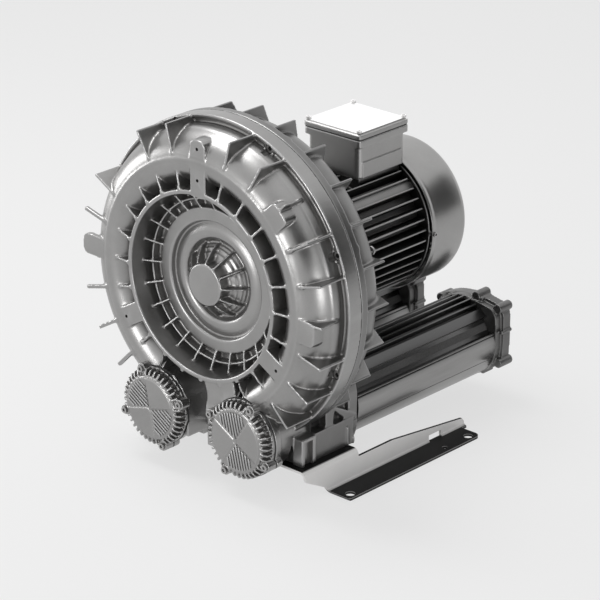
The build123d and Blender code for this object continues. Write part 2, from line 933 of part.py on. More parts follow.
def shaft_seal():
    body = tube(seal_radius - fit_gap / 3, seal_radius - 4, seal_front, seal_back)
    web = tube(seal_radius - 4, shoulder_radius + bearing_gap, seal_back - 3, seal_back)
    lip = tube(shoulder_radius + 3, shoulder_radius + bearing_gap, seal_front + 1, seal_back)
    return body + web + lip


def motor_frame():
    """Ribbed motor housing with its front flange and the flat seat of the terminal box."""
    flange_back = motor_flange_depth + motor_flange_thickness
    frame = tube(motor_flange_radius, frame_bore, motor_flange_depth, flange_back)
    frame += tube(frame_radius, frame_bore, flange_back, frame_back)
    fin = [
        (frame_radius - 1, flange_back + 16),
        (frame_fin_radius, flange_back + 16),
        (frame_fin_radius, frame_back - 6),
        (frame_radius - 1, frame_back),
    ]
    frame += [radial_plate(fin, frame_fin_thickness, a) for a in frame_fin_angles()]
    seat = Pos(0, (pad_top + frame_bore) / 2) * Rectangle(box_width - 4, pad_top - frame_bore)
    frame += prism(seat, box_front, box_front + box_length)
    frame += earth_eyelet()
    frame -= disc(frame_bore, motor_flange_depth - 1, frame_back + 1)
    frame -= motor_bolt_holes(motor_flange_depth - 1, flange_back + 1, m8 + hole_allowance)
    frame -= end_screw_holes(frame_back - 18, frame_back + 1, m5)
    wire_well = Pos(0, pad_top, -(box_front + box_length / 2)) * (Rot(90, 0, 0) * Circle(12))
    return frame - extrude(wire_well, pad_top - frame_bore + 8)


def frame_fin_angles():
    """Ribs all round, left out where the terminal box sits."""
    step = 360 / frame_fin_count
    angles = [(index + 0.5) * step for index in range(frame_fin_count)]
    limit = math.degrees(math.asin((box_width / 2) / frame_fin_radius))
    return [angle for angle in angles if abs(angle - 90) > limit]


def end_screw_holes(near, far, radius):
    spots = PolarLocations(frame_radius - 1, 4, 45) * Circle(radius)
    return prism(Sketch() + spots, near, far)


def motor_bolts():
    back = motor_flange_depth + motor_flange_thickness
    bolt = Rot(180, 0, 0) * screw(m8, motor_flange_thickness + 20, m8 * 2)
    solids = [Pos(*polar(motor_bolt_circle, 45 + i * 90), -back) * bolt for i in range(4)]
    return group(solids)


def stator_core():
    bore = rotor_radius + air_gap
    ring = tube(frame_bore - fit_gap / 3, bore, core_front, core_back)
    slot = Pos(bore + slot_depth / 2 + 2, 0) * RectangleRounded(slot_depth, 7, 3)
    slots = Sketch()
    for index in range(18):
        slots += Rot(0, 0, index * 20) * slot
    return ring - prism(slots, core_front - 1, core_back + 1)


def winding_head(near, far):
    bore = rotor_radius + air_gap
    return tube(bore + slot_depth + 2, bore + 3, near, far)


def stator_windings():
    heads = [winding_head(core_front - winding_length, core_front)]
    heads.append(winding_head(core_back, core_back + winding_length - 4))
    return group(heads)


def rotor_core():
    near = core_front
    body = tube(rotor_radius, shoulder_radius + fit_gap / 3, near, core_back)
    rings = tube(rotor_radius - 3, rotor_radius - 16, near - 10, core_back + 10)
    return body + rings


def rear_end_shield():
    """Rear bearing carrier of the motor with its spigot, ribs and bearing pocket."""
    hub = bearing_outer + casting_wall
    shield = tube(frame_fin_radius - 1, frame_bore - 10, frame_back, frame_back + 8)
    shield += tube(frame_bore - fit_gap / 3, frame_bore - 3, frame_back - 6, frame_back)
    shield += tube(frame_bore - 4, hub - 2, frame_back + 2, frame_back + 8)
    shield += tube(hub, bearing_outer, frame_back + 2, end_shield_back + 4)
    shield += tube(bearing_outer + 1, bearing_bore + 4, end_shield_back, end_shield_back + 4)
    rib = [
        (hub - 1, frame_back + 6),
        (frame_fin_radius - 4, frame_back + 6),
        (frame_fin_radius - 4, frame_back + 12),
        (hub - 1, end_shield_back),
    ]
    shield += [radial_plate(rib, rib_thickness, index * 45 + 22.5) for index in range(8)]
    shield -= disc(bearing_outer, frame_back - 8, end_shield_back)
    return shield - end_screw_holes(frame_back - 7, frame_back + 20, m5 + hole_allowance)


def end_shield_screws():
    back = frame_back + 8
    bolt = Rot(180, 0, 0) * screw(m5, 24, m5 * 2)
    return group([Pos(*polar(frame_radius - 1, 45 + i * 90), -back) * bolt for i in range(4)])


def preload_spring():
    near = rear_bearing_depth + bearing_width
    return tube(bearing_outer - 1, bearing_outer - 5, near + 0.3, end_shield_back - 0.3)


def cooling_fan():
    hub = tube(fan_seat_radius + 8, fan_seat_radius + fit_gap / 3, fan_front, fan_back)
    plate = tube(fan_radius - 24, fan_seat_radius + 7, fan_back - 5, fan_back)
    blade = [
        (fan_seat_radius + 6, fan_front + 8),
        (fan_radius, fan_front + 8),
        (fan_radius, fan_back),
        (fan_seat_radius + 6, fan_back),
    ]
    return hub + plate + [radial_plate(blade, 2.5, i * 360 / fan_blades) for i in range(fan_blades)]


def fan_clip():
    return tube(fan_seat_radius + 5, fan_seat_radius + fit_gap / 3, fan_back, fan_back + 2)


def fan_cover():
    """Drum over the fan with a ring-slotted grille at its back."""
    outer = revolve_drum(fan_cover_radius, fan_cover_corner, frame_back, fan_cover_back)
    wall = fan_cover_wall
    inner = revolve_drum(
        fan_cover_radius - wall, fan_cover_corner - wall, frame_back - 1, fan_cover_back - wall
    )
    cover = outer - inner
    slots = Sketch()
    for index in range(5):
        radius = 26 + index * 13
        slots += Circle(radius + 4) - Circle(radius - 4)
    for index in range(4):
        slots -= Rot(0, 0, 45 + index * 90) * (Pos(fan_radius / 2, 0) * Rectangle(fan_radius, 6))
    cover -= prism(slots, fan_cover_back - wall - 1, fan_cover_back + 1)
    for index in range(4):
        cover -= Rot(0, 0, index * 90) * side_hole()
    return cover


def side_hole():
    depth = frame_back + 4
    hole = Rot(0, 90, 0) * extrude(Circle(m5 * 0.9 + hole_allowance), fan_cover_wall * 4)
    return Pos(fan_cover_radius - fan_cover_wall * 2, 0, -depth) * hole


def revolve_drum(radius, corner, near, far):
    """Round drum along the shaft with a rounded rear corner."""
    blank = disc(radius, near, far)
    edge = blank.edges().filter_by(GeomType.CIRCLE).sort_by(Axis.Z)[0]
    return fillet(edge, corner)


def cover_mounts():
    """Spacer studs between the end shield's rim and the fan cover."""
    root = frame_fin_radius - 4
    length = fan_cover_radius - fan_cover_wall - root - fit_gap
    stud = Rot(0, 90, 0) * extrude(Circle(m5 + 1) - Circle(m5 * 0.9), length)
    spot = Pos(root, 0, -(frame_back + 4))
    return [Rot(0, 0, index * 90) * (spot * stud) for index in range(4)]


def fan_cover_screws():
    bolt = Rot(0, 90, 0) * screw(m5 * 0.9, 6, m5 * 1.2)
    spot = Pos(fan_cover_radius, 0, -(frame_back + 4))
    return group([Rot(0, 0, index * 90) * (spot * bolt) for index in range(4)])


def upright_block(width, low, high, near, far, centre=0.0, corner=0.0):
    """Upright block with rounded vertical corners, seen from above."""
    plan = RectangleRounded(width, far - near, corner) if corner else Rectangle(width, far - near)
    body = extrude(plan, high - low)
    return Pos(centre, low, -(near + far) / 2) * (Rot(-90, 0, 0) * body)


def terminal_box():
    """Box on the motor: open top, wide rim on two sides and a seat on the frame."""
    low = pad_top
    high = box_height
    far = box_front + box_length
    rim_low = high - lid_thickness
    middle = lid_front + lid_size / 2
    box = upright_block(box_width, low, high, box_front, far, 0, 6)
    rim = upright_block(lid_size, rim_low, high, lid_front, lid_front + lid_size, 0, 6)
    trim = upright_block(box_width + 6, low - 1, high - 40, box_front - 6, far + 6, 0, 3)
    trim -= upright_block(box_width - 3, low - 1, high - 40, box_front + 1.5, far - 1.5, 0, 5)
    box = box - trim + rim
    inner_width = box_width - terminal_wall * 2
    room = upright_block(inner_width, low + 4, high + 1, box_front + 4, far - 4, 0, 3)
    box -= room
    for x, depth in lid_screw_spots(middle):
        box -= upright_hole(x, depth, high - 12, high + 1, m5)
    for depth in entry_depths():
        entry = Rot(0, -90, 0) * extrude(Circle(gland_radius), box_width)
        box -= Pos(0, low + gland_height, -depth) * entry
    well = upright_hole(0, box_front + box_length / 2, low - 1, low + 5, 12)
    return box - well


def entry_depths():
    middle = box_front + box_length / 2
    return middle - gland_pitch / 2, middle + gland_pitch / 2


def lid_screw_spots(middle):
    step = lid_size / 2 - 6
    return [(x, middle + y) for x in (-step, step) for y in (-step, step)]


def lid_gasket():
    low = box_height
    ring = upright_block(lid_size - 2, low, low + 1.5, lid_front + 1, lid_front + lid_size - 1, 0, 5)
    hollow = upright_block(box_width - 16, low - 1, low + 3, box_front + 8, box_front + box_length - 8, 0, 3)
    ring -= hollow
    for x, depth in lid_screw_spots(lid_front + lid_size / 2):
        ring -= upright_hole(x, depth, low - 1, low + 3, m5 + hole_allowance)
    return ring


def terminal_lid():
    """Lid with chamfered top edges and a raised panel."""
    low = box_height + 1.5
    high = low + lid_thickness - 3
    lid = upright_block(lid_size, low, high, lid_front, lid_front + lid_size, 0, 6)
    top_face = lid.faces().sort_by(Axis.Y)[-1]
    lid = chamfer(top_face.edges(), 2.5)
    lid -= upright_block(lid_size - 20, low - 1, high - 3.5, lid_front + 10, lid_front + lid_size - 10, 0, 4)
    for x, depth in lid_screw_spots(lid_front + lid_size / 2):
        lid -= upright_hole(x, depth, low - 1, high + 1, m5 + hole_allowance)
    return lid


def lid_screws():
    top = box_height + 1.5 + lid_thickness - 3
    bolt = Rot(-90, 0, 0) * screw(m5, lid_thickness + 8, m5 * 1.2)
    spots = lid_screw_spots(lid_front + lid_size / 2)
    return group([Pos(x, top, -depth) * bolt for x, depth in spots])


def terminal_board():
    low = pad_top + 4
    near = box_front + 18
    far = near + 50
    board = upright_block(60, low, low + 10, near, far, 0, 4)
    board += upright_block(52, low + 10, low + 18, near + 22, far - 22)
    return board


def terminal_studs():
    low = pad_top + 14
    studs = []
    for x in (-20, 0, 20):
        for depth in (box_front + 28, box_front + 58):
            stem = upright_hole(x, depth, low, low + 16, m5)
            nut = Pos(x, low, -depth) * (Rot(-90, 0, 0) * extrude(RegularPolygon(5.5, 6), 5))
            studs.append(stem + nut)
    return group(studs)


def entry_plugs():
    """Hexagonal plugs in the two cable entries."""
    head = Rot(0, -90, 0) * extrude(RegularPolygon(gland_radius * 1.3, 6), plug_head)
    neck = Rot(0, 90, 0) * extrude(Circle(gland_radius - fit_gap), terminal_wall + plug_head)
    plug = head + neck
    spots = [Pos(-box_width / 2, pad_top + gland_height, -depth) for depth in entry_depths()]
    return group([spot * plug for spot in spots])


def bracket_section():
    """Bent sheet seen from the front: lip, upright web and floor flange with round bends."""
    lip = -box_bottom
    floor = -shaft_height
    inner = web_outer - sheet
    corners = [
        (pad_inner, lip),
        (web_outer, lip),
        (web_outer, floor + sheet),
        (foot_edge, floor + sheet),
        (foot_edge, floor),
        (inner, floor),
        (inner, lip - sheet),
        (pad_inner, lip - sheet),
    ]
    section = make_face(Polyline(corners, close=True))
    bends = ((1, sheet * 2), (2, sheet), (5, sheet * 2), (6, sheet))
    for index, radius in bends:
        corner = Vector(*corners[index])
        section = fillet(section.vertices().sort_by_distance(corner)[0], radius)
    return section


def bracket_side():
    """Bracket seen from the side, as pairs of depth and height."""
    floor = -shaft_height
    lip = -box_bottom
    return [
        (pad_front, lip),
        (pad_back, lip),
        (pad_back + 2, lip - 13),
        (pad_back + 76, lip - 13),
        (foot_end + 6, lip - 32),
        (foot_end + 10, lip - 37),
        (foot_end + 12, floor),
        (foot_start + 6, floor),
        (foot_start, floor + 10),
        (pad_front + 4, lip - 16),
    ]


def bracket_plan():
    """Bracket seen from above: lip, web and rounded floor flange."""
    width = foot_edge - web_outer + sheet * 3
    lip = Rectangle(web_outer - pad_inner, pad_back - pad_front)
    web = Rectangle(sheet * 3, foot_end - pad_front + sheet * 4)
    flange = RectangleRounded(width, foot_end - foot_start, 10)
    outline = Pos((web_outer + pad_inner) / 2, (pad_back + pad_front) / 2) * lip
    outline += Pos(web_outer - sheet / 2, (foot_end + pad_front + sheet * 4) / 2) * web
    outline += Pos(foot_edge - width / 2, (foot_end + foot_start) / 2) * flange
    return outline


def foot_bracket(side):
    """Bent sheet bracket between the foot pad and the floor."""
    lip = -box_bottom
    floor = -shaft_height
    bracket = prism(bracket_section(), pad_front, foot_end + sheet * 4)
    outline = make_face(Polyline([(-depth, height) for depth, height in bracket_side()], close=True))
    side_plane = Plane((foot_edge, 0, 0), x_dir=(0, 0, 1), z_dir=(-1, 0, 0))
    bracket = bracket & extrude(side_plane * outline, foot_edge - pad_inner)
    plan = extrude(Rot(90, 0, 0) * mirror(bracket_plan(), Plane.XZ), shaft_height)
    bracket = bracket & plan
    near = foot_end - 71
    bracket -= upright_block(sheet * 3, floor + sheet, floor + 14, near, near + 28, web_outer)
    for x, depth in foot_screw_spots(1):
        bracket -= upright_hole(x, depth, lip - sheet - 1, lip + 1, m8 + hole_allowance)
    for depth in (foot_depth - foot_pitch / 2, foot_depth + foot_pitch / 2):
        bracket -= upright_hole(foot_spacing / 2, depth, floor - 1, floor + sheet + 1, foot_hole)
    bracket -= upright_hole(foot_spacing / 2, foot_depth + 78, floor - 1, floor + sheet + 1, bracket_slot)
    return bracket if side > 0 else mirror(bracket, Plane.YZ)


def bracket_screws():
    bolt = Rot(90, 0, 0) * screw(m8, sheet + 18, m8 * 1.6)
    solids = []
    for _, side in sides:
        for x, depth in foot_screw_spots(side):
            solids.append(Pos(x, -box_bottom - sheet, -depth) * bolt)
    return group(solids)


def earth_eyelet():
    """Ring eyelet cast on the rim of the motor flange."""
    ring = Circle(7) + Pos(-9, 0) * Rectangle(8, 5) - Circle(3.4)
    return Rot(0, 0, 12) * (Pos(motor_flange_radius + 10, 0, -(motor_flange_depth + 12)) * extrude(ring, 4))


def build():
    cover = front_cover()
    gasket_zone = disc(flange_radius * 2, joint_depth - gasket_thickness, joint_depth)
    gasket = cover & gasket_zone
    save(cover - gasket_zone, "front_cover")
    save(gasket, "housing_gasket")
    save(rear_housing(), "rear_housing")
    save(flange_bolts(), "flange_bolts")
    save(cap_screws(), "port_cap_screws")
    save(silencer_bolts(), "silencer_bolts")
    save(pipe_screens(), "pipe_screens")
    for name, side in sides:
        save(port_cap(side), f"port_cap_{name}")
        save(port_gasket_ring(side), f"port_gasket_{name}")
        save(silencer_gasket(side), f"silencer_gasket_{name}")
        save(silencer_tube(side), f"silencer_tube_{name}")
        save(silencer_foam(side), f"silencer_foam_{name}")
        save(silencer_end_casting(side), f"silencer_end_{name}")
        save(foot_bracket(side), f"foot_bracket_{name}")
    save(bracket_screws(), "bracket_screws")
    save(impeller(), "impeller")
    save(shaft(), "shaft")
    save(impeller_key(), "impeller_key")
    save(impeller_spacer(), "impeller_spacer")
    save(end_washer(), "end_washer")
    save(end_bolt(), "end_bolt")
    for name, near in (("front", front_bearing_depth), ("rear", rear_bearing_depth)):
        save(bearing_inner(near), f"{name}_bearing_inner")
        save(bearing_outer_ring(near), f"{name}_bearing_outer")
        save(bearing_balls(near), f"{name}_bearing_balls")
        save(bearing_cage(near), f"{name}_bearing_cage")
    save(shaft_seal(), "shaft_seal")
    save(motor_frame(), "motor_frame")
    save(motor_bolts(), "motor_bolts")
    save(stator_core(), "stator_core")
    save(stator_windings(), "stator_windings")
    save(rotor_core(), "rotor_core")
    save(rear_end_shield() + cover_mounts(), "rear_end_shield")
    save(end_shield_screws(), "end_shield_screws")
    save(preload_spring(), "preload_spring")
    save(cooling_fan(), "cooling_fan")
    save(fan_clip(), "fan_clip")
    save(fan_cover(), "fan_cover")
    save(fan_cover_screws(), "fan_cover_screws")
    save(terminal_box(), "terminal_box")
    save(lid_gasket(), "lid_gasket")
    save(terminal_lid(), "terminal_box_lid")
    save(lid_screws(), "lid_screws")
    save(terminal_board(), "terminal_board")
    save(terminal_studs(), "terminal_studs")
    save(entry_plugs(), "entry_plugs")


build()
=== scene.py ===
import json
import math

import bmesh
import bpy
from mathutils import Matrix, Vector


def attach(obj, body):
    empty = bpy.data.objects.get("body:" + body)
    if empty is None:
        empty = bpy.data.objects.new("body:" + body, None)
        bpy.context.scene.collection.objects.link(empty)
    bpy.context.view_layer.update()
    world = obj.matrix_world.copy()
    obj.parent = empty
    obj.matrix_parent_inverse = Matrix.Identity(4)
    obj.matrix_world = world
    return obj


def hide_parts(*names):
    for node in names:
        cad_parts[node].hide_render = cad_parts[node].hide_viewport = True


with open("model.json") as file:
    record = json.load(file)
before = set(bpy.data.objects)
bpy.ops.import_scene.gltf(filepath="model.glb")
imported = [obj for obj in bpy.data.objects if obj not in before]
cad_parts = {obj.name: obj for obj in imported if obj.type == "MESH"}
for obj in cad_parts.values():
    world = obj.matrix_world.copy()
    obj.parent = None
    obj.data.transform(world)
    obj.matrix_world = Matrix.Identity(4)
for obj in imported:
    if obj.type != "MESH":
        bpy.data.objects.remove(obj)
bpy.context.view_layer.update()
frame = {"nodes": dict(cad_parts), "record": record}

# The drawing frame is in millimetres about the shaft: x right, y up, depth back from the rim.
SHAFT_HEIGHT = 295.0
FOOT_DEPTH = 230.0
MM = 0.001
SIDES = (("left", -1), ("right", 1))

# Side channel casing
CHANNEL_RADIUS = 184.0
CHANNEL_HALF = 34.0
CHANNEL_HEIGHT = 41.0
SHELL_HALF = 41.0
CREST = 50.0
COVER_MIDDLE = 50.0
REAR_MIDDLE = 100.0
JOINT = 75.0
CHAMBER = 218.5
FLANGE = 239.0
FIN_TIP = 237.0
FIN_THICKNESS = 3.8
WALL_FRONT = 49.5
RIM_OUTER = 142.0
RIM_INNER = 135.0
FACE_RADIUS = 108.0
FACE_DEPTH = 33.0
POCKET = 43.0
RIB_COUNT = 24
RIB_STEP = 360 / RIB_COUNT
BOLT_CIRCLE = 231.0
BOLT_ANGLES = (-90, -22.5, 22.5, 67.5, 112.5, 157.5, 202.5)

# Ports and foot pads
PORT_X = 85.0
PORT_Y = -206.0
NECK_RADIUS = 55.0
BOX_INNER = 27.0
BOX_OUTER = 120.0
BOX_TOP = -150.0
BOX_BOTTOM = -247.0
BOX_FRONT = 34.0
BOX_BACK = 153.0
SHELF = -205.0
PAD_FRONT = 45.0
CAP_FRONT = -17.5
CAP_SEAT = 4.0
CAP_RADIUS = 59.0
CAP_EAR = 7.5
CAP_TURN = {-1: 20.0, 1: -25.0}

# Silencers
SILENCER_Y = -199.0
SILENCER_FRONT = 173.5
SILENCER_BACK = 488.0
OUTLET_BACK = 525.0
TUBE_BORE = 51.5
PIPE_RADIUS = 36.1

# Motor
MOTOR_FACE = 206.0
FRAME_START = 236.0
FRAME_BACK = 379.0
FRAME_BORE = 78.0
FRAME_BODY = 85.0
FRAME_TIP = 105.0
MOTOR_BOLTS = 115.5
SHIELD_BOLTS = 84.0
GRILLE_FRONT = 460.0
GRILLE_BACK = 462.0
QUARTERS = (45, 135, 225, 315)

# Camera that took the photo
CAMERA_AZIMUTH = 42.3429
CAMERA_RISE = 22.2124
CAMERA_TARGET = (0.1925, -0.230, 0.3288)
CAMERA_DISTANCE = 4.018
CAMERA_LENS = 177.32


# Geometry in the drawing frame

def place(x, y, depth):
    """World place of a point of the drawing frame."""
    return Vector((x * MM, (depth - FOOT_DEPTH) * MM, (SHAFT_HEIGHT + y) * MM))


def polar(radius, degrees):
    """Point at a radius and an angle, as x and y."""
    turn = math.radians(degrees)
    return radius * math.cos(turn), radius * math.sin(turn)


def arc(centre, size, start, end, steps):
    """Points of an elliptical arc, as pairs."""
    points = []
    for index in range(steps + 1):
        turn = math.radians(start + (end - start) * index / steps)
        points.append((centre[0] + size[0] * math.cos(turn), centre[1] + size[1] * math.sin(turn)))
    return points


def rounded(points, radius, steps=4):
    """Closed outline with its corners rounded; radius may be one number or one for each corner."""
    count = len(points)
    radii = radius if isinstance(radius, (list, tuple)) else [radius] * count
    outline = []
    for index in range(count):
        corner = Vector(points[index])
        before = Vector(points[index - 1]) - corner
        after = Vector(points[(index + 1) % count]) - corner
        reach = min(radii[index], before.length * 0.45, after.length * 0.45)
        if reach < 0.01:
            outline.append(tuple(corner))
            continue
        first = corner + before.normalized() * reach
        last = corner + after.normalized() * reach
        for step in range(steps + 1):
            t = step / steps
            outline.append(tuple(first * (1 - t) ** 2 + corner * 2 * t * (1 - t) + last * t * t))
    return outline


def rectangle(width, height, x=0.0, y=0.0):
    """Outline of a rectangle about its middle."""
    w = width / 2
    h = height / 2
    return [(x - w, y - h), (x + w, y - h), (x + w, y + h), (x - w, y + h)]


def circle(radius, x=0.0, y=0.0, steps=48):
    """Outline of a circle about its middle."""
    return [(x + dx, y + dy) for dx, dy in (polar(radius, i * 360 / steps) for i in range(steps))]


def turned(outline, degrees):
    """Outline turned about the origin."""
    turn = math.radians(degrees)
    c = math.cos(turn)
    s = math.sin(turn)
    return [(x * c - y * s, x * s + y * c) for x, y in outline]


def moved(outline, dx, dy):
    """Outline carried sideways and up."""
    return [(x + dx, y + dy) for x, y in outline]


def spin(outline, steps=240, centre=(0.0, 0.0), start=0.0, reach=360.0):
    """Solid of revolution along the shaft, whole or in part, from an outline of radius and depth."""
    points = []
    whole = reach > 359
    for index in range(steps):
        x, y = polar(1.0, start + index * reach / (steps if whole else steps - 1))
        points += [(centre[0] + radius * x, centre[1] + radius * y, depth) for radius, depth in outline]
    count = len(outline)
    faces = []
    if not whole:
        faces = [tuple(range(count)), tuple(range((steps - 1) * count, steps * count))]
    for ring in range(steps if whole else steps - 1):
        here = ring * count
        there = (ring + 1) % steps * count
        for index in range(count):
            following = (index + 1) % count
            faces.append((here + index, there + index, there + following, here + following))
    return points, faces


def prism_faces(count):
    """Both ends and the sides of a prism whose outline has the given number of points."""
    ends = [tuple(range(count)), tuple(range(2 * count - 1, count - 1, -1))]
    return ends + [(i, (i + 1) % count, count + (i + 1) % count, count + i) for i in range(count)]


def slab(outline, near, far):
    """Outline seen from the front, carried between two depths."""
    points = [(x, y, depth) for depth in (near, far) for x, y in outline]
    return points, prism_faces(len(outline))


def plate(outline, thickness, degrees, tip=1.0):
    """Upright plate along a radius from an outline of radius and depth, thinner towards its last half."""
    c, s = polar(1.0, degrees)
    points = []
    count = len(outline)
    for side in (-1, 1):
        for index, (radius, depth) in enumerate(outline):
            half = side * thickness / 2 * (tip if index >= count / 2 else 1.0)
            points.append((radius * c - half * s, radius * s + half * c, depth))
    return points, prism_faces(count)


def across(side, first, last):
    """Pair of x limits on the left or the right of the shaft."""
    return sorted((side * first, side * last))


def block(x, y, depth):
    """Box between pairs of limits."""
    return slab([(x[0], y[0]), (x[1], y[0]), (x[1], y[1]), (x[0], y[1])], *depth)


def rod(radius, x, y, near, far, steps=32):
    """Round bar along the shaft's direction."""
    return slab(circle(radius, x, y, steps), near, far)


def upright(outline, low, high):
    """Outline of x and depth, carried between two heights."""
    points, faces = slab(outline, low, high)
    return [(x, height, depth) for x, depth, height in points], faces


def crosswise(outline, first, last):
    """Outline of depth and height, carried along x."""
    points, faces = slab(outline, first, last)
    return [(x, height, depth) for depth, height, x in points], faces


# Building pieces

def mesh_from(name, solids):
    """Mesh object from closed solids given in the drawing frame."""
    points = []
    faces = []
    for solid_points, solid_faces in solids:
        start = len(points)
        points += [place(*point) for point in solid_points]
        faces += [tuple(start + index for index in face) for face in solid_faces]
    mesh = bpy.data.meshes.new(name)
    mesh.from_pydata(points, [], faces)
    work = bmesh.new()
    work.from_mesh(mesh)
    bmesh.ops.remove_doubles(work, verts=work.verts, dist=1e-6)
    bmesh.ops.dissolve_degenerate(work, edges=work.edges, dist=1e-7)
    bmesh.ops.recalc_face_normals(work, faces=work.faces)
    work.to_mesh(mesh)
    work.free()
    mesh.shade_flat()
    piece = bpy.data.objects.new(name, mesh)
    bpy.context.scene.collection.objects.link(piece)
    return piece


def settle(piece, sharp=50.0):
    """Apply a piece's modifiers and keep only its real edges sharp."""
    graph = bpy.context.evaluated_depsgraph_get()
    mesh = bpy.data.meshes.new_from_object(piece.evaluated_get(graph))
    piece.modifiers.clear()
    piece.data = mesh
    mesh.shade_smooth()
    mesh.set_sharp_from_angle(angle=math.radians(sharp))
    return piece


def dress(piece, body, material, nodes=()):
    """Give a piece its material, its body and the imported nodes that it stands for."""
    piece.data.materials.clear()
    piece.data.materials.append(material)
    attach(piece, body)
    if nodes:
        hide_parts(*nodes)
    return piece


def cast(name, solids, cuts, grain, keep, soften=3):
    """Casting: solids melted together with soft corners, then machined by the cuts."""
    piece = mesh_from(name, solids)
    melt = piece.modifiers.new("melt", "REMESH")
    melt.mode = "VOXEL"
    melt.voxel_size = grain * MM
    melt.use_smooth_shade = True
    soft = piece.modifiers.new("soft", "SMOOTH")
    soft.factor = 0.5
    soft.iterations = soften
    thin = piece.modifiers.new("thin", "DECIMATE")
    thin.ratio = keep
    settle(piece)
    tools = []
    for index, cut in enumerate(cuts):
        tool = mesh_from(f"{name}_cut_{index}", cut)
        tools.append(tool)
        machine = piece.modifiers.new("machine", "BOOLEAN")
        machine.operation = "DIFFERENCE"
        machine.solver = "MANIFOLD"
        machine.object = tool
    if tools:
        settle(piece)
    for tool in tools:
        bpy.data.objects.remove(tool)
    return piece


def bevelled(name, solids, width, sharp=40.0):
    """Piece with plain machined or moulded edges."""
    piece = mesh_from(name, solids)
    edge = piece.modifiers.new("edge", "BEVEL")
    edge.width = width * MM
    edge.segments = 2
    edge.limit_method = "ANGLE"
    edge.angle_limit = math.radians(35)
    return settle(piece, sharp)


# Materials

def node(tree, kind, inputs=None, **settings):
    """New shader node with its settings and its inputs, each a value or another node's output."""
    made = tree.nodes.new(kind)
    for key, value in settings.items():
        setattr(made, key, value)
    for key, value in (inputs or {}).items():
        if isinstance(value, bpy.types.NodeSocket):
            tree.links.new(value, made.inputs[key])
        else:
            made.inputs[key].default_value = value
    return made


def ramp(tree, source, stops):
    """Colour ramp from pairs of place and colour."""
    made = node(tree, "ShaderNodeValToRGB", {"Fac": source})
    elements = made.color_ramp.elements
    while len(elements) < len(stops):
        elements.new(0.5)
    for element, (spot, colour) in zip(elements, stops):
        element.position = spot
        element.color = (*colour, 1.0)
    return made.outputs["Color"]


def grey(level, warmth=0.0):
    """Grey colour, a little red where warmth is over nought."""
    return (level * (1 + warmth), level, level * (1 - warmth))


def spread(tree, source, low, high):
    """Map a nought-to-one value to a narrow band."""
    inputs = {"Value": source, "To Min": low, "To Max": high}
    return node(tree, "ShaderNodeMapRange", inputs).outputs["Result"]


def mixed(tree, factor, tone, colour):
    """Blend a tone towards one colour."""
    made = node(tree, "ShaderNodeMix", {"Factor": factor}, data_type="RGBA")
    tree.links.new(tone, made.inputs["A"])
    made.inputs["B"].default_value = (*colour, 1.0)
    return made.outputs["Result"]


def mottled(tree, cloud, speck, dark, light):
    """Tone that wanders between a dark and a light colour."""
    inputs = {"Factor": 0.35, "A": cloud, "B": speck}
    blend = node(tree, "ShaderNodeMix", inputs, data_type="FLOAT")
    return ramp(tree, blend.outputs["Result"], [(0.3, dark), (0.7, light)])


def worn_edge(tree, edge):
    """How far outer edges are rubbed bright, up to the given share."""
    pointed = node(tree, "ShaderNodeNewGeometry").outputs["Pointiness"]
    inputs = {"Value": pointed, "From Min": 0.5, "From Max": 0.58, "To Min": 0.0, "To Max": edge}
    return node(tree, "ShaderNodeMapRange", inputs).outputs["Result"]


def painted_crevice_shade(tree, painted_shade_strength, sheltered):
    """How much shade is painted into the corners that little light reaches."""
    open_sky = node(tree, "ShaderNodeAmbientOcclusion", {"Distance": 0.03}, samples=6).outputs["AO"]
    inputs = {"Value": open_sky, "From Min": 0.1, "From Max": sheltered, "To Min": painted_shade_strength, "To Max": 0.0}
    return node(tree, "ShaderNodeMapRange", inputs).outputs["Result"]


def painted_light_mask(tree, span, low):
    """Mask of painted light and shade: one on faces that look up, and on all faces near the floor where a height is
    given.
    """
    normal = node(tree, "ShaderNodeNewGeometry").outputs["Normal"]
    upward = node(tree, "ShaderNodeSeparateXYZ", {0: normal}).outputs["Z"]
    inputs = {"Value": upward, "From Min": span[0], "From Max": span[1]}
    level = node(tree, "ShaderNodeMapRange", inputs).outputs["Result"]
    if not low:
        return level
    height = node(tree, "ShaderNodeSeparateXYZ", {0: node(tree, "ShaderNodeTexCoord").outputs["Object"]})
    inputs = {"Value": height.outputs["Z"], "From Min": low, "From Max": low / 4}
    fade = node(tree, "ShaderNodeMapRange", inputs).outputs["Result"]
    return node(tree, "ShaderNodeMath", {0: level, 1: fade}, operation="MAXIMUM").outputs[0]


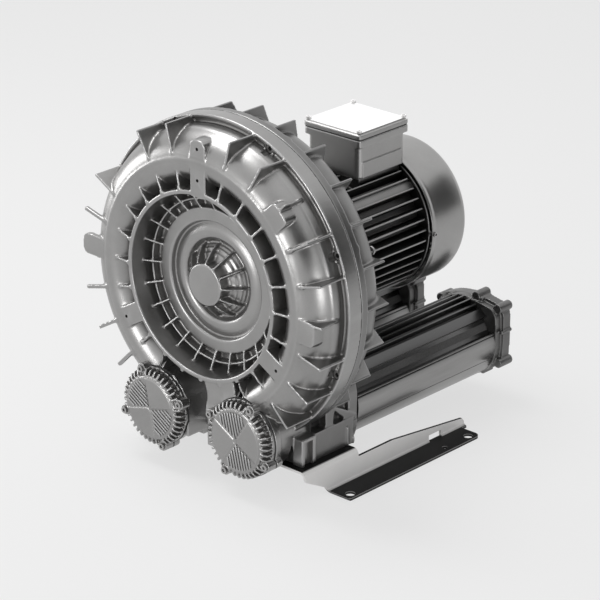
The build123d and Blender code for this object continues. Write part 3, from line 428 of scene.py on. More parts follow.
def metal(name, dark, light, rough, bump, scale=900.0, metallic=1.0, warmth=0.01, edge=0.0, brushed=None, painted_shade_strength=0.0,
          sheltered=0.75, painted_shade_share=0.1, top=None, span=(0.85, 0.98), low=None, gloss=0.5):
    """Bare or painted metal: mottled tone, fine grain, uneven gloss, worn edges and painted shade in crevices.

    The shade painted into sheltered corners is a share of the dark tone. Faces that look up take the tone top, where
    one is given, as painted light or shade.
    """
    material = bpy.data.materials.new(name)
    material.use_nodes = True
    tree = material.node_tree
    shader = tree.nodes["Principled BSDF"]
    shader.inputs["Metallic"].default_value = metallic
    shader.inputs["Specular IOR Level"].default_value = gloss
    place_at = node(tree, "ShaderNodeTexCoord").outputs["Object"]
    if brushed:
        place_at = node(tree, "ShaderNodeMapping", {"Vector": place_at, "Scale": brushed}).outputs["Vector"]
    large = {"Vector": place_at, "Scale": 14.0, "Detail": 6.0, "Roughness": 0.6}
    cloud = node(tree, "ShaderNodeTexNoise", large).outputs["Fac"]
    speck = node(tree, "ShaderNodeTexNoise", {"Vector": place_at, "Scale": scale, "Detail": 3.0}).outputs["Fac"]
    tone = mottled(tree, cloud, speck, grey(dark, warmth), grey(light, warmth))
    if edge:
        tone = mixed(tree, worn_edge(tree, edge), tone, grey(min(light * 1.5, 0.95)))
    # Painted shade: corners that little light reaches are darkened towards a share of the dark tone and made less
    # metallic.
    if painted_shade_strength:
        shade = painted_crevice_shade(tree, painted_shade_strength, sheltered)
        tone = mixed(tree, shade, tone, grey(dark * painted_shade_share, 0.03))
        tree.links.new(spread(tree, shade, metallic, metallic * (1.1 - painted_shade_share)), shader.inputs["Metallic"])
    # Painted light and shade: faces that look up, and faces near the floor, take the tone top.
    if top is not None:
        tone = mixed(tree, painted_light_mask(tree, span, low), tone, grey(top))
    tree.links.new(tone, shader.inputs["Base Color"])
    tree.links.new(spread(tree, cloud, rough - 0.04, rough + 0.04), shader.inputs["Roughness"])
    bumps = node(tree, "ShaderNodeBump", {"Strength": bump, "Distance": 0.0003, "Height": speck})
    tree.links.new(bumps.outputs["Normal"], shader.inputs["Normal"])
    return material


def build_materials():
    """All looks by name."""
    return {
        # Most looks below paint shade into the corners that little light reaches; in the motor's fin gaps it is almost
        # black.
        "cast": metal("cast aluminium", 0.27, 0.34, 0.31, 0.20, edge=0.7, painted_shade_strength=0.8, painted_shade_share=0.6),
        "rear_cast": metal("rear housing aluminium", 0.17, 0.23, 0.36, 0.20, edge=0.9, painted_shade_strength=0.8, painted_shade_share=0.5),
        # Painted shade: a darker copy of the cast aluminium for the silencer ends.
        "shaded_cast": metal("shaded silencer end aluminium", 0.12, 0.17, 0.38, 0.20, edge=0.8, painted_shade_strength=0.8, painted_shade_share=0.5),
        "motor": metal("motor aluminium", 0.24, 0.33, 0.38, 0.22, edge=0.9, painted_shade_strength=1.0, sheltered=0.95),
        "box": metal("terminal box aluminium", 0.32, 0.38, 0.40, 0.18, edge=0.7, painted_shade_strength=0.5),
        # Painted light: the lid's face that looks up is made nearly white, as the light from above makes it.
        "lid": metal("terminal box lid", 0.32, 0.38, 0.45, 0.08, edge=0.6, painted_shade_strength=0.5, top=0.97),
        # Painted shade: the tube's facets that look up are made dark.
        "extruded": metal("extruded aluminium", 0.25, 0.32, 0.32, 0.05, brushed=(8.0, 0.6, 8.0), painted_shade_strength=1.0,
                          sheltered=0.9, top=0.11, span=(0.1, 0.55)),
        "cover_steel": metal("fan cover steel", 0.31, 0.37, 0.30, 0.04, painted_shade_strength=0.6),
        # Painted shade: the bracket's faces that look up, and all its faces below about 7 mm above the floor, darken to
        # almost black.
        "sheet": metal("bracket sheet", 0.82, 0.92, 0.42, 0.06, metallic=0.1, painted_shade_strength=0.3, top=0.008, low=0.007,
                       gloss=0.12),
        # Painted light: the screw heads' faces that look up are made nearly white.
        "white_screw": metal("lid screws", 0.80, 0.90, 0.40, 0.06, metallic=0.2, top=0.97),
        "bright": metal("bright steel", 0.45, 0.60, 0.25, 0.08),
        "screw": metal("zinc screws", 0.32, 0.45, 0.33, 0.12, painted_shade_strength=0.7),
        "core": metal("core steel", 0.16, 0.24, 0.5, 0.2, brushed=(1.0, 40.0, 1.0)),
        "impeller": metal("impeller aluminium", 0.45, 0.55, 0.4, 0.2),
        "copper": metal("winding copper", 0.30, 0.42, 0.4, 0.4, warmth=0.35),
        "brass": metal("stud brass", 0.45, 0.6, 0.3, 0.1, warmth=0.3),
        "black": metal("black plastic", 0.02, 0.035, 0.45, 0.25, metallic=0.0),
        "grey": metal("grey plastic", 0.18, 0.24, 0.5, 0.2, metallic=0.0),
        "foam": metal("foam", 0.05, 0.10, 0.9, 0.9, scale=400.0, metallic=0.0),
        "rubber": metal("seal rubber", 0.015, 0.03, 0.55, 0.2, metallic=0.0),
        "gasket": metal("gasket fibre", 0.05, 0.08, 0.8, 0.4, metallic=0.0),
    }


LOOK_OF_SLOT = {
    "cast_aluminium": "cast",
    "motor_aluminium": "motor",
    "extruded_aluminium": "extruded",
    "impeller_aluminium": "impeller",
    "silencer_foam": "foam",
    "gasket": "gasket",
    "sheet_steel": "sheet",
    "fan_cover_steel": "cover_steel",
    "bright_steel": "bright",
    "core_steel": "core",
    "winding_copper": "copper",
    "seal_rubber": "rubber",
    "black_plastic": "black",
    "grey_plastic": "grey",
    "stud_brass": "brass",
    "screws": "screw",
}


def dress_nodes(looks):
    """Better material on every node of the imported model."""
    slot_of = {part["node"]: part["material_slot"] for part in frame["record"]["subparts"]}
    for name, obj in frame["nodes"].items():
        look = "white_screw" if name == "lid_screws" else LOOK_OF_SLOT[slot_of[name]]
        obj.data.materials.clear()
        obj.data.materials.append(looks[look])


# Front cover

def swell(middle, reach, start, end, steps=40):
    """Arc of the swelling over the side channel, as radius and depth."""
    return arc((CHANNEL_RADIUS, middle), (SHELL_HALF, reach), start, end, steps)


def cover_profile():
    """Outside of the cover from the shaft outwards."""
    hub = [(0, 11), (30, 11), (31.2, 12.2), (31.8, 27), (34, 31), (41.5, 33.5), (43, 37), (47.5, 38)]
    groove = [(49, 41.5), (51.5, 42.5), (52.5, 46.0), (56.5, 46.2), (58.2, 44.6)]
    lens = [(59.4, 41.4), (61.2, 38.8), (64, 37.2), (68, 36.6), (73, 37.0), (78, 38.4), (82, 40.4), (84.4, 41.8)]
    step = [(85.6, 42.0), (86.4, 41.2), (87.2, 36.0), (88.4, 33.8), (90.5, 33.0), (107, FACE_DEPTH + 0.7)]
    pocket = [(108, FACE_DEPTH + 1.7), (109, POCKET), (129, POCKET), (131, 38), (RIM_INNER, 1.5), (136, 0)]
    rim = [(141, 0), (RIM_OUTER, 1.2), (144, 30)]
    over = swell(COVER_MIDDLE, CREST, 180 + math.degrees(math.asin(20 / CREST)), 360, 96)
    inner_side = [spot for spot in over if spot[0] < CHANNEL_RADIUS]
    bead = [(184.6, 0.0), (185.0, -0.6), (188.2, -0.5), (188.8, 0.6)]
    outer_side = [spot for spot in over if spot[0] > 189.5 and spot[1] < 33]
    band = [(spot[0] + 1.1, spot[1]) for spot in over if 33.6 <= spot[1] < 50 and spot[0] > 200]
    flange = [(225.6, 53), (226.5, 54.5), (232.6, 54.5), (233.4, WALL_FRONT), (FLANGE, WALL_FRONT), (FLANGE, JOINT)]
    front = hub + groove + lens + step + pocket + rim + inner_side + bead
    return front + outer_side + band + flange + [(0, JOINT)]


def cover_ribs():
    """Ribs of the pocket and the valley, with the hoop that joins the inner ones."""
    parts = []
    for index in range(RIB_COUNT):
        angle = index * RIB_STEP
        inner = [
            (FACE_RADIUS - 1, FACE_DEPTH + 0.4),
            (RIM_INNER - 1, FACE_DEPTH * 0.62),
            (RIM_INNER, POCKET + 1),
            (FACE_RADIUS - 1, POCKET + 1),
        ]
        valley = [
            (RIM_OUTER - 1, 0.4),
            (CHANNEL_RADIUS - 15, 2.5),
            (CHANNEL_RADIUS - 10, 22),
            (RIM_OUTER - 1, 36),
        ]
        parts.append(plate(inner, 3.0, angle))
        parts.append(plate(valley, 3.6, angle))
        parts.append(rod(3.2, *polar(RIM_OUTER + 1, angle), -0.2, 12, 16))
    middle = (FACE_RADIUS + RIM_INNER) / 2
    hoop = [(middle - 1.5, FACE_DEPTH - 4), (middle + 1.5, FACE_DEPTH - 4)]
    hoop += [(middle + 1.5, POCKET + 1), (middle - 1.5, POCKET + 1)]
    parts.append(spin(hoop, 180))
    return parts


def hub_ribs():
    """Ribs from the hub's cap to the dish."""
    outline = [(29, 12), (34, 14.5), (43, 22), (54, 34), (57, 47.5), (50, 47.5), (30, 30)]
    return [plate(outline, 2.4, index * 30) for index in range(12)]


def cover_fins():
    """Cooling fins around the swelling: full ones to the rim wall, short ones and plain bars."""
    root = CHANNEL_RADIUS + 5
    full = [(root, 1.0), (root + 10, 0.3), (FIN_TIP, 0.3), (FIN_TIP, 72), (CHANNEL_RADIUS + 30, 72), (root, 20)]
    short = [(root, 1.0), (root + 10, 0.3), (232, 0.3), (227, 40), (CHANNEL_RADIUS + 30, 60), (root, 20)]
    bar = [(root, 0.6), (root + 10, 0.3), (FIN_TIP, 0.3), (FIN_TIP, 6.5), (CHANNEL_RADIUS + 24, 7), (root, 12)]
    parts = [plate(full, FIN_THICKNESS, angle) for angle in (-45, -30, -15, 15, 30, 60, 75, 105, 120, 150)]
    parts += [plate(short, FIN_THICKNESS, angle) for angle in (0, 45)]
    parts += [plate(bar, 5.6, angle) for angle in (165, 195, 210, 225)]
    parts += [rod(3.4, *polar(CHANNEL_RADIUS + 17, angle), -0.2, 30, 16) for angle in (30, 15, 0)]
    return parts


def face_pads():
    """Tab, bridges, cushions and lug on the cover's front."""
    tab = rounded(rectangle(29, 84, 0, 176), [2, 2, 11, 11])
    parts = [slab(tab, 0, 24)]
    bridge = rectangle(50, 30, 164, 0)
    for angle in (-30, 210):
        parts.append(slab(turned(bridge, angle), 0, 22))
    cushion = rounded(rectangle(34, 36, 201, 0), 9)
    for angle in (44, -4):
        parts.append(slab(turned(cushion, angle), -0.2, 34))
    lug = rounded(rectangle(44, 32, 212, 0), 12)
    parts.append(slab(turned(lug, 178), 0.5, 9))
    return parts


def flange_bosses(near, far):
    """Bosses of the bolts that join the two halves."""
    return [rod(9.5, *polar(BOLT_CIRCLE - 1.5, angle), near, far) for angle in BOLT_ANGLES]


def cap_screws(side):
    """Middles of the four screws around a port."""
    spots = [polar(CAP_RADIUS, CAP_TURN[side] + index * 90) for index in range(4)]
    return moved(spots, side * PORT_X, PORT_Y)


def port_blocks():
    """Front plates, port boxes, foot pads and round necks of the cover."""
    left = [(-26, -179), (-54, -152), (-74, -152), (-74, -240), (-26, -240)]
    right = [(5.6, -140), (12, -158), (12, -240), (64, -240), (68, -150), (64, -128)]
    parts = [slab(left, 1, 40), slab(right, 1, 40)]
    for _, side in SIDES:
        parts.append(block(across(side, BOX_INNER, BOX_OUTER), (BOX_BOTTOM, BOX_TOP), (BOX_FRONT, JOINT)))
        parts.append(block(across(side, 113, 156), (BOX_BOTTOM, SHELF), (PAD_FRONT, JOINT)))
        parts.append(block(across(side, 110, 134), (SHELF - 2, -168), (52, JOINT)))
        neck = [(x, max(y, BOX_BOTTOM)) for x, y in circle(NECK_RADIUS, side * PORT_X, PORT_Y, 72)]
        parts.append(slab(neck, CAP_SEAT, JOINT))
        parts.append(rod(CAP_RADIUS, side * PORT_X, PORT_Y, CAP_SEAT, CAP_SEAT + 12, 72))
        parts += [rod(CAP_EAR, x, y, CAP_SEAT, CAP_SEAT + 12) for x, y in cap_screws(side)]
    return parts


def port_cells():
    """Deep cells and the gap between the two ports, where the side channel is interrupted."""
    lip = RIM_OUTER + 2
    left = [polar(lip, angle) for angle in (-88, -93, -98, -104, -110, -116, -121)]
    left += [(-79, -150), (-54, -152), (-26, -179), (-26, -250), (11.5, -250), (11.5, -158)]
    right = [polar(lip, -62), polar(lip, -59), (79, -151), (70, -152)]
    return [slab(left, -8, 44), slab(right, -8, 38)]


def pad_details():
    """Screw boss in the side pocket of each foot pad, and the one above its shelf."""
    parts = []
    for _, side in SIDES:
        boss = circle(5.5, 59, -226, 24)
        parts.append(crosswise(boss, *across(side, 140, 155)))
        parts.append(rod(8, side * 128, -196, 52, 74, 24))
    return parts


def pad_pockets():
    """Hollows in the front and the outer side of each foot pad."""
    parts = []
    for _, side in SIDES:
        parts.append(block(across(side, 118, 139), (BOX_BOTTOM - 1, SHELF - 5), (PAD_FRONT - 5, PAD_FRONT + 4)))
        parts.append(block(across(side, 150, 160), (BOX_BOTTOM - 1, SHELF - 5), (50, 67)))
    return parts


def cover_cuts():
    """Chamber, side channel, holes, ports and hollows of the cover."""
    inside = [(0, 76), (CHAMBER, 76), (CHAMBER, COVER_MIDDLE)]
    inside += [(31, COVER_MIDDLE), (31, 33), (23, 33), (23, 18), (0, 18)]
    groove = arc((CHANNEL_RADIUS, COVER_MIDDLE), (CHANNEL_HALF, CHANNEL_HEIGHT), 0, -180, 40)
    groove += [(CHANNEL_RADIUS - CHANNEL_HALF, COVER_MIDDLE + 1), (CHANNEL_RADIUS + CHANNEL_HALF, COVER_MIDDLE + 1)]
    pad_holes = ((205, 90), (159, 90), (170, -30), (170, 210))
    holes = [rod(2.5, *polar(radius, angle), -8, 9, 20) for radius, angle in pad_holes]
    holes += [rod(4.5, *polar(BOLT_CIRCLE, angle), 60, 77, 24) for angle in BOLT_ANGLES]
    seats = [rod(7.1, *polar(BOLT_CIRCLE - 0.4, angle), 40, 61, 40) for angle in BOLT_ANGLES]
    ports = [rod(37, side * PORT_X, PORT_Y, 2, 46, 64) for _, side in SIDES]
    ports += [rod(CAP_RADIUS + 1, side * PORT_X, PORT_Y, -8, CAP_SEAT, 96) for _, side in SIDES]
    channel = [spin(groove, 150, start=-55, reach=290)]
    return [[spin(inside, 180)], channel, holes, ports, seats, port_cells(), pad_pockets()]


def front_cover(looks):
    """Cast cover of the side channel."""
    solids = [spin(cover_profile(), 300)]
    solids += cover_ribs() + hub_ribs() + cover_fins() + face_pads()
    solids += flange_bosses(52, JOINT - 1) + port_blocks() + pad_details()
    piece = cast("front_cover_casting", solids, cover_cuts(), 1.35, 0.3)
    return dress(piece, "housing", looks["cast"], ["front_cover"])


# Rear housing

def housing_profile():
    """Outside of the rear half from the joint to the motor neck."""
    over = swell(REAR_MIDDLE, CREST, 0, 168, 80)
    flange = [(0, JOINT), (FLANGE, JOINT), (FLANGE, 89), (226.5, 89)]
    web = [(141.5, 112.5), (114, 111.5), (112, 114), (112, MOTOR_FACE), (0, MOTOR_FACE)]
    return flange + over + web


def housing_fins():
    """Fins around the swelling and ribs around the motor neck."""
    outline = [(192, 84), (FIN_TIP, 84), (FIN_TIP, 134), (206, 147), (192, 146)]
    parts = [plate(outline, FIN_THICKNESS, -45 + index * RIB_STEP) for index in range(19)]
    neck = [(110, 109), (160, 109), (160, 146), (118, 168), (110, 168)]
    parts += [plate(neck, 5.0, angle) for angle in (15, 75, 105, 165, 200, 340)]
    return parts


def silencer_seats():
    """Seats of the silencers, with the boxes, foot pads and posts that carry them."""
    parts = []
    for _, side in SIDES:
        outline = rounded(rectangle(126, 126, side * PORT_X, SILENCER_Y), 44, 8)
        parts.append(slab(outline, 152, 172))
        parts.append(block(across(side, BOX_INNER, BOX_OUTER), (BOX_BOTTOM, BOX_TOP), (JOINT, BOX_BACK)))
        parts.append(block(across(side, 116, 152), (BOX_BOTTOM, SHELF), (JOINT, 158)))
        post = [(100, SHELF - 1), (100, -150), (116, -150), (116, -176), (166, -203), (166, SHELF - 6)]
        post += [(150, SHELF - 6), (119, -184), (116, SHELF - 1)]
        parts.append(crosswise(post, *across(side, 138, 151)))
        parts.append(block(across(side, 118, 140), (SHELF - 2, BOX_TOP), (104, BOX_BACK)))
        parts.append(block(across(side, 110, 134), (SHELF - 2, BOX_TOP), (JOINT, 106)))
        for depth, top in ((143, -217), (156, -236)):
            parts.append(block(across(side, 150, 155), (BOX_BOTTOM, top), (depth, depth + 3.5)))
        gusset = rounded(rectangle(60, 8, side * PORT_X, -140), 3)
        parts.append(slab(gusset, 110, 168))
    return parts


def housing_cuts():
    """Side channel, bearing seat, neck bore and holes of the rear half."""
    inside = [(0, 74), (CHAMBER, 74), (CHAMBER, REAR_MIDDLE)]
    inside += arc((CHANNEL_RADIUS, REAR_MIDDLE), (CHANNEL_HALF, CHANNEL_HEIGHT), 0, 180, 40)
    inside += [(25, REAR_MIDDLE), (25, 102), (36, 102), (36, 112), (103, 113), (103, 207), (0, 207)]
    bores = [rod(45, side * PORT_X, SILENCER_Y, 144, 174, 64) for _, side in SIDES]
    bolts = [rod(4.2, *polar(BOLT_CIRCLE, angle), 73, 91, 24) for angle in BOLT_ANGLES]
    return [[spin(inside, 180)], bores, bolts]


def rear_housing(looks):
    """Cast rear half of the side channel, up to the motor's face."""
    solids = [spin(housing_profile(), 300)] + housing_fins() + silencer_seats()
    solids += flange_bosses(76, 91)
    neck_bosses = [rod(11, *polar(112, angle), 178, MOTOR_FACE, 24) for angle in QUARTERS]
    piece = cast("rear_housing_casting", solids + neck_bosses, housing_cuts(), 1.6, 0.3)
    return dress(piece, "housing", looks["rear_cast"], ["rear_housing"])


# Port caps

def sector(inner, outer, middle, half, steps=12):
    """Outline of part of a ring between two radii, half the angle to each side of its middle."""
    turns = [middle - half + 2 * half * index / steps for index in range(steps + 1)]
    return [polar(outer, turn) for turn in turns] + [polar(inner, turn) for turn in reversed(turns)]


def cap_solids():
    """Cap about its own middle: plate, ears, dome, teeth and a face of smooth and ridged quarters."""
    seat = 2.5
    dome = [(0, CAP_FRONT), (45.5, CAP_FRONT), (48.2, CAP_FRONT + 1.2), (49.5, CAP_FRONT + 4), (50.5, seat), (0, seat)]
    parts = [spin(dome, 120), rod(58.5, 0, 0, seat - 5, seat, 96)]
    tooth = [(47, CAP_FRONT + 0.4), (52, CAP_FRONT + 0.6), (58, CAP_FRONT + 4.5), (58.8, seat - 3), (47, seat - 3)]
    for quarter in range(4):
        for index in range(1, 10):
            parts.append(plate(tooth, 3.0, quarter * 90 + index * 9, 0.8))
        x, y = polar(CAP_RADIUS, quarter * 90)
        parts.append(rod(CAP_EAR, x, y, CAP_FRONT + 4, seat, 32))
        arm = rectangle(14, 13, 52, 0)
        parts.append(slab(turned(arm, quarter * 90), CAP_FRONT + 5, seat))
    for turn in (38, 218):
        parts.append(slab(sector(4, 45, turn, 43), CAP_FRONT - 1.0, CAP_FRONT + 1))
    return parts


def cap_ridges():
    """Straight ridges across two opposite quarters of the cap's face."""
    parts = []
    reach = 43.5
    for index in range(9):
        offset = (index - 4) * 5.2
        outer = math.sqrt(reach ** 2 - offset ** 2)
        start = 4 + abs(offset) * 0.95
        bar = rectangle(outer - start, 2.5, (start + outer) / 2, offset)
        for turn in (-52, 128):
            parts.append(slab(turned(bar, turn), CAP_FRONT - 1.5, CAP_FRONT + 0.6))
    return parts


def on_port(solids, side):
    """Solids about a cap's own middle, turned and carried to their port."""
    c, s = polar(1.0, CAP_TURN[side])
    parts = []
    for points, faces in solids:
        points = [(side * PORT_X + x * c - y * s, PORT_Y + x * s + y * c, depth) for x, y, depth in points]
        parts.append((points, faces))
    return parts


def port_cap(name, side, looks):
    """Finned cap over a port, with its ridges as a piece of their own."""
    parts = on_port(cap_solids(), side)
    ridges = bevelled(f"port_cap_{name}_ridges", on_port(cap_ridges(), side), 0.5)
    dress(ridges, "housing", looks["cast"])
    holes = [rod(3.5, x, y, CAP_FRONT, CAP_SEAT, 24) for x, y in cap_screws(side)]
    piece = cast(f"port_cap_{name}_casting", parts, [holes], 0.8, 0.35, 2)
    return dress(piece, "housing", looks["cast"], [f"port_cap_{name}"])


# Silencers

def silencer_outline():
    """Right half of the extruded outline as pairs of angle and radius, from the top down."""
    half = []
    for middle in (90, 78, 66):
        half += [(middle + 1.6, 55), (middle + 1.2, 64), (middle - 1.2, 64), (middle - 1.6, 55)]
    half += [(57.5, 56.0), (57.2, 62.6), (50, 61.4), (43.0, 62.6), (42.7, 54.6)]
    half += [(18.5, 54.6), (18.0, 63.8), (15.4, 64.0), (15.0, 61.6), (14.2, 61.6), (13.8, 63.4)]
    half += [(angle, 63.5) for angle in range(12, -18, -3)]
    half += [(-19.0, 63.5), (-19.3, 62.7), (-20.0, 62.7), (-20.3, 63.3)]
    half += [(angle, 63.2) for angle in range(-23, -50, -3)]
    half += [(-51.5, 63.2), (-52.0, 60.8), (-53.5, 60.8), (-54.0, 61.4)]
    half += [(angle, 61.0) for angle in range(-57, -90, -3)]
    return half


def silencer_ring():
    """Whole outline of the tube, mirrored from its right half."""
    right = [(angle, radius) for angle, radius in silencer_outline() if angle <= 90]
    left = [(180 - angle, radius) for angle, radius in reversed(silencer_outline()) if angle < 90]
    return right + left


def silencer_tube(name, side, looks):
    """Extruded tube, open at both ends, with every groove of its outline."""
    ring = silencer_ring()
    points = []
    for near in (SILENCER_FRONT, SILENCER_BACK):
        for inner in (False, True):
            for angle, radius in ring:
                x, y = polar(TUBE_BORE if inner else radius, angle)
                points.append((side * PORT_X + x, SILENCER_Y + y, near))
    count = len(ring)
    faces = []
    for index in range(count):
        following = (index + 1) % count
        faces.append((index, following, count + following, count + index))
        faces.append((2 * count + index, 3 * count + index, 3 * count + following, 2 * count + following))
        faces.append((index, 2 * count + index, 2 * count + following, following))
        faces.append((count + index, count + following, 3 * count + following, 3 * count + index))
    piece = bevelled(f"silencer_tube_{name}_extrusion", [(points, faces)], 0.35, 30)
    return dress(piece, "housing", looks["extruded"], [f"silencer_tube_{name}"])


def silencer_end(name, side, looks):
    """End casting with a wide shoulder, lugs for the screws and a short round outlet."""
    centre = (side * PORT_X, SILENCER_Y)
    body = [(0, SILENCER_BACK), (63.5, SILENCER_BACK), (64, 489.5), (64, 516), (62, 518), (47, 518), (46, 519)]
    body += [(45.5, OUTLET_BACK), (0, OUTLET_BACK)]
    corners = [(-54, 50), (-26, 62), (22, 67), (60, 60), (68, 48), (69, 6), (66, -32), (46, -48), (0, -64)]
    outline = corners + [(-46, -50), (-62, -20), (-62, 22)]
    shoulder = rounded(outline, 12, 5)
    parts = [spin(body, 160, centre)]
    parts.append(slab(moved([(x * 0.93, y * 0.93) for x, y in shoulder], *centre), 486, 500))
    parts.append(slab(moved(shoulder, *centre), 499, 516))
    for x, y in ((62, 57), (65, -31), (-49, 46), (-44, -46), (20, 67)):
        parts.append(rod(7.5, centre[0] + x, centre[1] + y, 490, 519, 28))
    for x, y in ((30, 66), (71, 20), (36, -56), (-4, -65), (-62, 4)):
        parts.append(rod(3.0, centre[0] + x * 0.97, centre[1] + y * 0.97, 492, 516, 16))
    cuts = [[rod(PIPE_RADIUS, *centre, 484, OUTLET_BACK + 2, 72)], [rod(53, *centre, 484, 494, 64)]]
    piece = cast(f"silencer_end_{name}_casting", parts, cuts, 1.1, 0.35)
    return dress(piece, "housing", looks["shaded_cast"], [f"silencer_end_{name}"])


# Motor

def frame_fin(straight, corner, back):
    """Outline of a fin of the motor frame from the depths where its tip, its corner and its root end."""
    root = FRAME_BODY - 1
    front = [(root, FRAME_START), (FRAME_TIP - 0.8, FRAME_START), (FRAME_TIP, FRAME_START + 2)]
    return front + [(FRAME_TIP, straight), (FRAME_TIP - 1.5, corner), (root, back)]


def motor_frame(looks):
    """Finned frame with its flange, box seat, screw ribs and earth eyelet."""
    body = [(FRAME_BORE, MOTOR_FACE), (125, MOTOR_FACE), (125, 221), (96, 221), (88, 226), (FRAME_BODY, FRAME_START)]
    body += [(FRAME_BODY, FRAME_BACK), (FRAME_BORE, FRAME_BACK)]
    parts = [spin(body, 200)]
    fin = frame_fin(371, 373.5, 378)
    short_fin = frame_fin(268, 272, 276)
    step = 9.0
    limit = math.degrees(math.asin(49 / FRAME_TIP))
    for index in range(40):
        angle = (index + 0.5) * step
        under_box = abs(angle - 90) < limit
        parts.append(plate(short_fin if under_box else fin, 3.0, angle, 0.9))
    seat = [(-47, 286), (47, 286), (47, 376), (-47, 376)]
    parts.append(upright(seat, FRAME_BORE, 97))
    screw_rib = [(84, FRAME_START), (99, FRAME_START), (99, FRAME_BACK), (84, FRAME_BACK)]
    for angle in QUARTERS:
        parts.append(rod(10, *polar(MOTOR_BOLTS, angle), MOTOR_FACE, 224, 24))
        parts.append(plate(screw_rib, 10, angle))
    ring = spin([(3.4, 214), (7, 214), (7, 218), (3.4, 218)], 40, polar(135.5, 12))
    stem = slab(turned(rectangle(10, 5, 126, 0), 12), 214, 218)
    before = MOTOR_FACE - 1
    behind = FRAME_BACK + 1
    bore = [(0, before), (FRAME_BORE, before), (FRAME_BORE, behind), (0, behind)]
    bolts = [rod(4.5, *polar(MOTOR_BOLTS, angle), before, 225, 24) for angle in QUARTERS]
    piece = cast("motor_frame_casting", parts + [ring, stem], [[spin(bore, 120)], bolts], 1.2, 0.3)
    return dress(piece, "housing", looks["motor"], ["motor_frame"])


def motor_end_ring(looks):
    """Outer rim and ribs of the rear end shield, around the fan's air path."""
    rim = [(68, FRAME_BACK), (103.5, FRAME_BACK), (104, 380), (104, 386), (103, 387), (68, 387)]
    hub = [(31, 381), (38, 381), (38, 405), (36, 406), (31, 406)]
    parts = [spin(rim, 160), spin(hub, 96), spin([(36, 381), (70, 381), (70, 387), (36, 387)], 96)]
    parts.append(spin([(19, 402), (32, 402), (32, 406), (19, 406)], 96))
    rib = [(37, 385), (100, 385), (100, 391), (37, 402)]
    parts += [plate(rib, 4.0, index * 45 + 22.5) for index in range(8)]
    stud = [(100, 380.5), (108.8, 380.5), (108.8, 385.5), (100, 385.5)]
    parts += [plate(stud, 6.0, index * 90) for index in range(4)]
    parts += [rod(6, *polar(SHIELD_BOLTS, angle), FRAME_BACK, 389, 24) for angle in QUARTERS]
    bolts = [rod(2.9, *polar(SHIELD_BOLTS, angle), FRAME_BACK - 1, 392, 20) for angle in QUARTERS]
    piece = cast("rear_end_shield_casting", parts, [bolts], 1.3, 0.4)
    return dress(piece, "housing", looks["motor"], ["rear_end_shield"])


def fan_cover(looks):
    """Pressed drum with a rolled front edge, rounded rear corner and ring-slotted grille."""
    outer = [(108.8, FRAME_BACK), (110.6, FRAME_BACK), (111, 379.6), (111, 384), (110.4, 385), (110.4, 391), (111, 392)]
    corner = arc((97, 448), (14, 14), 0, 90, 10)
    inner = list(reversed(arc((97, 448), (12, 12), 0, 90, 10)))
    drum = outer + corner + [(84, GRILLE_BACK), (84, GRILLE_FRONT)] + inner
    parts = [spin(drum, 200)]
    for edge in range(22, 75, 13):
        band = [(edge - 5, GRILLE_FRONT), (edge, GRILLE_FRONT), (edge - 0.6, GRILLE_BACK), (edge - 4.4, GRILLE_BACK)]
        parts.append(spin(band, 96))
    parts.append(rod(17.5, 0, 0, GRILLE_FRONT, GRILLE_BACK, 48))
    for angle in QUARTERS:
        spoke = turned(rectangle(72, 6, 52, 0), angle)
        parts.append(slab(spoke, GRILLE_FRONT, GRILLE_BACK))
    piece = bevelled("fan_cover_drum", parts, 0.4, 35)
    return dress(piece, "housing", looks["cover_steel"], ["fan_cover"])


# Terminal box

def terminal_box(looks):
    """Box body with a raised side panel and rim, and the lid with its chamfered edge."""
    base = rounded([(-45, 279), (54, 279), (54, 378), (-45, 378)], [5, 10, 5, 5], 6)
    rim = rounded([(-54, 279), (54.5, 279), (54.5, 388), (-54, 388)], 5, 5)
    foot = rounded([(-46, 284), (47, 284), (47, 378), (-46, 378)], 4, 5)
    parts = [upright(base, 99, 148), upright(rim, 146, 157), upright(foot, 95, 101)]
    parts.append(block((50, 55), (99, 123), (286, 372)))
    room = upright([(-41, 283), (50, 283), (50, 374), (-41, 374)], 102, 160)
    body = cast("terminal_box_casting", parts, [[room]], 1.1, 0.3, 2)
    dress(body, "housing", looks["box"], ["terminal_box"])
    top = rounded([(-55, 278), (55, 278), (55, 388), (-55, 388)], 6, 5)
    inset = rounded([(-52, 281), (52, 281), (52, 385), (-52, 385)], 5, 5)
    lid_parts = [upright(top, 158.5, 165.5), upright(inset, 162, 168.3)]
    lid = cast("terminal_box_lid_casting", lid_parts, [], 1.1, 0.25, 2)
    dress(lid, "housing", looks["lid"], ["terminal_box_lid"])


# Stage

def build_floor():
    """Pale floor that takes the object's shadow and glows a little, as under bright studio light."""
    mesh = bpy.data.meshes.new("floor")
    reach = 6.0
    corners = [(x, y, 0) for x, y in rectangle(2 * reach, 2 * reach)]
    mesh.from_pydata(corners, [], [(0, 1, 2, 3)])
    floor = bpy.data.objects.new("floor", mesh)
    bpy.context.scene.collection.objects.link(floor)
    floor.location.z = -0.0005
    material = bpy.data.materials.new("pale floor")
    material.use_nodes = True
    tree = material.node_tree
    shader = tree.nodes["Principled BSDF"]
    shader.inputs["Base Color"].default_value = (0.60, 0.60, 0.60, 1.0)
    shader.inputs["Roughness"].default_value = 0.9
    glow = node(tree, "ShaderNodeEmission", {"Color": (1.0, 1.0, 1.0, 1.0), "Strength": 1.0})
    share = node(tree, "ShaderNodeMath", {0: background_rays(tree), 1: 0.65}, operation="MULTIPLY")
    blend = node(tree, "ShaderNodeMixShader", {0: share.outputs[0], 1: shader.outputs[0], 2: glow.outputs[0]})
    tree.links.new(blend.outputs[0], tree.nodes["Material Output"].inputs["Surface"])
    mesh.materials.append(material)


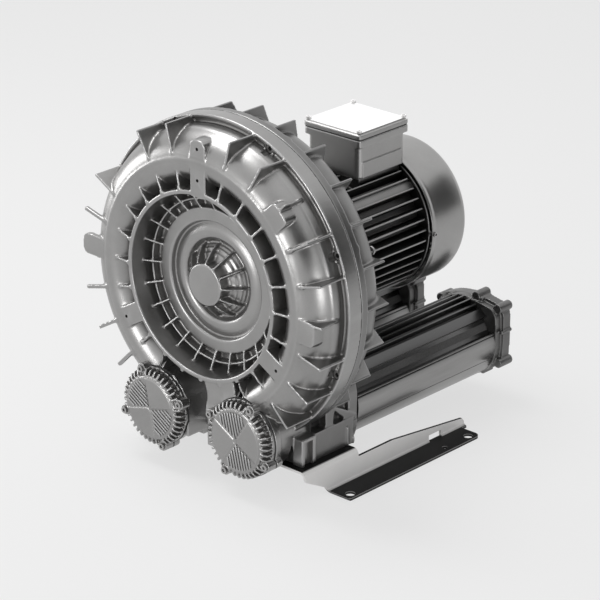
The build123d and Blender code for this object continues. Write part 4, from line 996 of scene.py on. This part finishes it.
def background_rays(tree):
    """One where a ray sees the background straight, in a gloss or through glass."""
    path = node(tree, "ShaderNodeLightPath").outputs
    first = node(tree, "ShaderNodeMath", {0: path["Is Camera Ray"], 1: path["Is Glossy Ray"]}, operation="MAXIMUM")
    both = {0: first.outputs[0], 1: path["Is Transmission Ray"]}
    return node(tree, "ShaderNodeMath", both, operation="MAXIMUM").outputs[0]


def build_world():
    """White surroundings for the camera and the gloss, soft light for the rest."""
    world = bpy.data.worlds.new("studio")
    bpy.context.scene.world = world
    world.use_nodes = True
    tree = world.node_tree
    base = tree.nodes["Background"]
    base.inputs["Color"].default_value = (1.0, 1.0, 1.0, 1.0)
    base.inputs["Strength"].default_value = 0.5
    white = node(tree, "ShaderNodeBackground", {"Color": (1.0, 1.0, 1.0, 1.0), "Strength": 1.0})
    blend = node(tree, "ShaderNodeMixShader", {0: background_rays(tree), 1: base.outputs[0], 2: white.outputs[0]})
    tree.links.new(blend.outputs[0], tree.nodes["World Output"].inputs["Surface"])


def lamp(name, spot, target, size, power):
    """Round soft lamp that the camera doesn't see."""
    light = bpy.data.lights.new(name, "AREA")
    light.shape = "DISK"
    light.size = size
    light.energy = power
    obj = bpy.data.objects.new(name, light)
    bpy.context.scene.collection.objects.link(obj)
    obj.location = spot
    obj.rotation_euler = (Vector(target) - Vector(spot)).to_track_quat("-Z", "Y").to_euler()
    obj.visible_camera = False


def flag(name, spot, target, width, height, material):
    """Dark card that only shows in the gloss of the metal, as a studio uses to give it shape."""
    mesh = bpy.data.meshes.new(name)
    corners = [(x, y, 0) for x, y in rectangle(width, height)]
    mesh.from_pydata(corners, [], [(0, 1, 2, 3)])
    mesh.materials.append(material)
    card = bpy.data.objects.new(name, mesh)
    bpy.context.scene.collection.objects.link(card)
    card.location = spot
    card.rotation_euler = (Vector(target) - Vector(spot)).to_track_quat("Z", "Y").to_euler()
    card.visible_camera = False
    card.visible_diffuse = False
    card.visible_shadow = False


def build_flags():
    """Two dark cards, by the camera and on the right, that give the castings their dark bands."""
    material = bpy.data.materials.new("flag cloth")
    material.use_nodes = True
    shader = material.node_tree.nodes["Principled BSDF"]
    shader.inputs["Base Color"].default_value = (0.08, 0.08, 0.08, 1.0)
    shader.inputs["Roughness"].default_value = 1.0
    middle = (0.0, 0.0, 0.4)
    flag("right flag", (2.9, 1.6, 1.5), middle, 3.4, 2.6, material)
    flag("front flag", (3.3, -3.0, 2.6), middle, 3.6, 3.2, material)


def build_lights():
    """Lamps from above and from three sides."""
    middle = (0.0, 0.0, 0.3)
    lamp("key", (-0.9, -0.2, 2.5), middle, 1.4, 32.0)
    lamp("front", (-0.35, -2.8, 0.55), middle, 0.8, 14.0)
    lamp("left", (-2.4, -0.9, 0.35), middle, 1.1, 15.0)
    lamp("right", (2.6, -1.0, 0.25), middle, 0.7, 9.0)


def build_camera():
    """Camera at the place that the photo was taken from."""
    azimuth = math.radians(CAMERA_AZIMUTH)
    rise = math.radians(CAMERA_RISE)
    out = Vector((math.sin(azimuth) * math.cos(rise), -math.cos(azimuth) * math.cos(rise), math.sin(rise)))
    data = bpy.data.cameras.new("photo camera")
    data.lens = CAMERA_LENS
    data.sensor_width = 36.0
    data.clip_end = 50.0
    camera = bpy.data.objects.new("photo camera", data)
    bpy.context.scene.collection.objects.link(camera)
    camera.location = Vector(CAMERA_TARGET) + out * CAMERA_DISTANCE
    camera.rotation_euler = (-out).to_track_quat("-Z", "Y").to_euler()
    bpy.context.scene.camera = camera


bpy.context.scene.view_settings.view_transform = "Standard"
build_camera()
build_world()
build_lights()
build_flags()
build_floor()
looks = build_materials()
dress_nodes(looks)
front_cover(looks)
rear_housing(looks)
for name, side in SIDES:
    port_cap(name, side, looks)
    silencer_tube(name, side, looks)
    silencer_end(name, side, looks)
motor_frame(looks)
motor_end_ring(looks)
fan_cover(looks)
terminal_box(looks)
